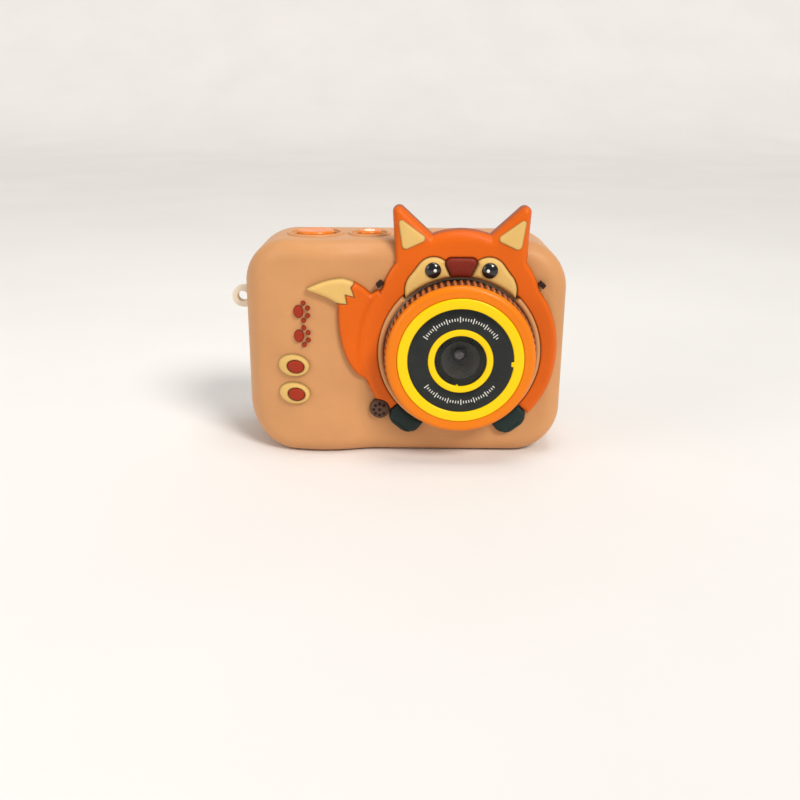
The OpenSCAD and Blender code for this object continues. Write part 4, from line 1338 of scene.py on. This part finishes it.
def key_mark(name, centre, top):
    """Raised mark; seen from behind, so left and right follow the CAD's own X."""
    mark, angle = MARKS[name]
    if mark == "ring":
        low, face = top - 0.3, top - 0.05
        profile = [(1.0, low), (1.0, face), (1.12, top), (1.4, top), (1.52, face), (1.52, low)]
        turned_piece(name + "_mark", profile, (centre[0], 0, centre[1]), KEY_MARK, "housing_white",
                     count=64, body=name)
        return
    if mark == "arrow":
        shapes = [hull([(1.05, 0, 0.22), (-0.75, 0.95, 0.22), (-0.75, -0.95, 0.22)], 16)]
    else:
        shapes = [hull([(-1.0, dz, 0.2), (1.0, dz, 0.2)], 16) for dz in (-0.85, 0, 0.85)]
    verts, faces = [], []
    for shape in shapes:
        shape = turned(shape, -angle)
        middle = shape.mean(0)
        steps = ((top - 0.3, shape), (top - 0.06, shape), (top, middle + (shape - middle) * 0.9))
        v, f = capped(loft([(place, points + centre) for place, points in steps], "y"))
        base = sum(len(q) for q in verts)
        verts.append(v)
        faces += [tuple(i + base for i in face) for face in f]
    mesh = outward(raw_mesh(name + "_mark", np.vstack(verts), faces))
    finish_mesh(name + "_mark", mesh, KEY_MARK, "housing_white", body=name)


# ---------- rear panel details and inner parts ----------


def rear_details():
    """Raised frame round the screen and a shallow ring round the arrow keys."""
    face = REAR_FACE
    pairs = (
        (face - 0.9, 0.12), (face + 0.15, 0.12), (face + 0.4, 0.3),
        (face + 0.55, 0.7), (face + 0.4, 1.2), (face - 0.3, 1.45),
    )
    wide, _, high = 2 * half_mm("screen_window")
    rings = loft(slot_steps(pairs, wide, high, 3, middle_mm("screen_window")[[0, 2]], 14), "y")
    faces = ring_faces(len(rings), len(rings[0]), closed=True)
    mesh = outward(raw_mesh("screen_frame", np.vstack(rings), faces))
    finish_mesh("screen_frame", mesh, KEY, "key_orange")
    kx, _, kz = middle_mm("ok_key")
    reach = box_mm("up_key")[1][2] - kz + 0.35
    bead = half_ring((reach + 0.45, face + 0.2), 0.45, 0.35)
    profile = [(reach, face - 0.3), (reach, face + 0.2), *bead, (reach + 0.9, face - 0.3)]
    turned_piece("key_pad_ring", profile, (kx, 0, kz), WHITE, "housing_white", count=128)


def usb_details():
    """Folded steel shell, tongue and contacts."""
    lo, hi = box_mm("usb_port")
    centre = middle_mm("usb_port")[1:]
    mouth, floor = hi[0], lo[0] + 1
    shell = (
        (lo[0], 0), (mouth - 0.1, 0), (mouth, -0.12), (mouth, -0.36), (mouth - 0.12, -0.48), (floor, -0.5),
    )
    shell = slot_steps(shell, hi[1] - lo[1], hi[2] - lo[2], 0.9, centre, 8)
    lofted_piece("usb_shell", shell, "x", STEEL, "metal", replaces=["usb_port"])
    tongue = ((floor - 0.1, 0), (mouth - 1.3, 0), (mouth - 1.1, -0.12))
    tongue = slot_steps(tongue, 0.7, 5, 0.13, centre + [0.35, 0], 8)
    lofted_piece("usb_tongue", tongue, "x", MODULE_BLACK, "card_black")
    for i in range(5):
        place = centre + [-0.03, (i - 2) * 0.95]
        pin = slot_steps(((floor + 0.2, 0), (mouth - 1.6, 0)), 0.12, 0.4, 0.04, place, 8)
        lofted_piece(f"usb_contact_{i}", pin, "x", GOLD, "metal")


def card_details():
    """Memory card with its stepped edge, thumb ridge and blank label."""
    lo, hi = box_mm("memory_card")
    length, half = hi[0] - lo[0], (hi[2] - lo[2]) / 2
    cz = middle_mm("memory_card")[2]
    edge = np.array([
        (0.4, -half), (length - 0.5, -half), (length - 0.1, 0.4 - half), (length, 0.9 - half),
        (length, half - 0.9), (length - 0.1, half - 0.4), (length - 0.5, half),
        (9.3, half), (8.2, half - 1.2), (7.2, half - 1.2), (6.6, half - 0.7),
        (0.5, half - 0.7), (0, half - 1.2), (0, 0.4 - half),
    ])
    middle = np.array([length / 2, 0])
    front, back = lo[1] + 0.03, hi[1] - 0.2
    shell = [
        (y, middle + (edge - middle) * k + (lo[0], cz))
        for y, k in ((front, 0.985), (front + 0.08, 1), (back - 0.08, 1), (back, 0.985))
    ]
    facts = {"slot": "card_black", "body": "memory_card"}
    lofted_piece("card_shell", shell, "y", CARD, replaces=["memory_card"], **facts)
    ridge = ((back - 0.2, 0), (hi[1] - 0.08, 0), (hi[1], -0.2))
    ridge = slot_steps(ridge, 1.3, 2 * half - 1.6, 0.5, (hi[0] - 1.1, cz), 6)
    lofted_piece("card_ridge", ridge, "y", CARD, **facts)
    label = ((lo[1] + 0.2, 0), (lo[1] + 0.01, 0), (lo[1], -0.04))
    label = slot_steps(label, 9.2, 2 * half - 2.6, 0.7, (hi[0] - 6.4, cz), 6)
    lofted_piece("card_label", label, "y", LABEL, **facts)


def battery_details():
    """Pouch cell with soft, rounded edges."""
    lo, hi = box_mm("battery")
    half = ((0, -1.6), (0.15, -0.9), (0.5, -0.3), (1.1, 0))
    pairs = [(lo[1] + d, g) for d, g in half] + [(hi[1] - d, g) for d, g in half[::-1]]
    centre = middle_mm("battery")[[0, 2]]
    steps = slot_steps(pairs, hi[0] - lo[0], hi[2] - lo[2], 1.8, centre, 8)
    lofted_piece("battery_pouch", steps, "y", FOIL, "cell_silver", replaces=["battery"])


CAD_MATERIALS = {
    "front_housing": WHITE, "rear_housing": WHITE, "strap_lug": WHITE, "housing_screws": STEEL,
    "barrel_screws": STEEL, "lens_barrel": KNURL_SHADED, "camera_module": MODULE_BLACK, "camera_ribbon": AMBER,
    "main_board": BOARD, "battery_pad": FOAM, "battery_leads": WIRE,
    "lcd_module": FOAM, "lcd_cushion": FOAM, "lcd_ribbon": AMBER, "screen_window": SCREEN,
    "speaker": FOAM, "microphone": STEEL, "key_switches": STEEL, "shutter_switch": STEEL,
    "power_switch": STEEL, "card_socket": STEEL,
}
BEVELS = {"strap_lug": 0.5, "screen_window": 0.25}


def dress_cad_nodes():
    for name, material in CAD_MATERIALS.items():
        obj = nodes[name]
        obj.data.materials.clear()
        obj.data.materials.append(material)
        obj.data.shade_smooth()
        obj.data.set_sharp_from_angle(angle=math.radians(30))
        if name in BEVELS:
            soften = obj.modifiers.new("edges", "BEVEL")
            soften.width = BEVELS[name] * MM
            soften.segments = 3
            soften.limit_method = "ANGLE"
            soften.angle_limit = math.radians(40)
            soften.harden_normals = False


# ---------- studio ----------


def studio():
    bpy.ops.mesh.primitive_grid_add(x_subdivisions=120, y_subdivisions=120, size=6.0, location=(0, 1.2, 0))
    floor = bpy.context.object
    floor.name = "studio_floor"
    bend, radius = 0.2, 1.1
    for v in floor.data.vertices:
        y = v.co.y
        if y > bend:
            a = min((y - bend) / radius, math.pi / 2)
            rest = max(y - bend - radius * math.pi / 2, 0)
            v.co.y = bend + radius * math.sin(a)
            v.co.z = radius * (1 - math.cos(a)) + rest
    floor.data.shade_smooth()
    floor.data.materials.append(floor_material())

    def area(name, place, target, size, power, colour):
        light = bpy.data.lights.new(name, "AREA")
        light.shape, light.size, light.energy, light.color = "DISK", size, power, colour
        obj = bpy.data.objects.new(name, light)
        obj.location = place
        obj.rotation_euler = (Vector(target) - Vector(place)).to_track_quat("-Z", "Y").to_euler()
        bpy.context.scene.collection.objects.link(obj)

    sun = bpy.data.lights.new("key", "SUN")
    sun.energy, sun.angle, sun.color = 2.0, math.radians(20), (1, 0.965, 0.92)
    key = bpy.data.objects.new("key", sun)
    key.rotation_euler = Vector((-0.48, 0.62, -0.70)).to_track_quat("-Z", "Y").to_euler()
    bpy.context.scene.collection.objects.link(key)
    area("soft_left", (-0.55, -0.3, 0.3), (0, 0, 0.03), 0.4, 1.1, (1, 0.97, 0.94))
    area("soft_top", (0.1, -0.05, 0.7), (0, 0, 0.03), 0.3, 1.3, (1, 1, 1))
    world = bpy.data.worlds.new("studio_world")
    world.use_nodes = True
    world.node_tree.nodes["Background"].inputs["Color"].default_value = (1, 0.985, 0.97, 1)
    world.node_tree.nodes["Background"].inputs["Strength"].default_value = 0.36
    bpy.context.scene.world = world
    bpy.context.scene.view_settings.view_transform = "Standard"


def camera():
    """The photograph's view: level with the body's width, looking down by 19 degrees."""
    data = bpy.data.cameras.new("camera")
    data.sensor_width, data.lens = 36, 40.52
    data.clip_start, data.clip_end = 0.01, 20
    obj = bpy.data.objects.new("camera", data)
    forward = Vector((-0.004, 0.9466, -0.3224)).normalized()
    up = Vector((-0.0078, 0.3224, 0.9466)).normalized()
    side = forward.cross(up).normalized()
    up = side.cross(forward)
    turn_matrix = Matrix((side, up, -forward)).transposed()
    obj.matrix_world = Matrix.Translation((0.0, -0.2697, 0.1035)) @ turn_matrix.to_4x4()
    bpy.context.scene.collection.objects.link(obj)
    bpy.context.scene.camera = obj


camera()
studio()
silicone_sleeve()
button_rims()
fox_figure()
fox_face()
fox_feet()
grip_trim()
lens_pieces()
top_buttons()
rear_keys()
rear_details()
usb_details()
card_details()
battery_details()
dress_cad_nodes()
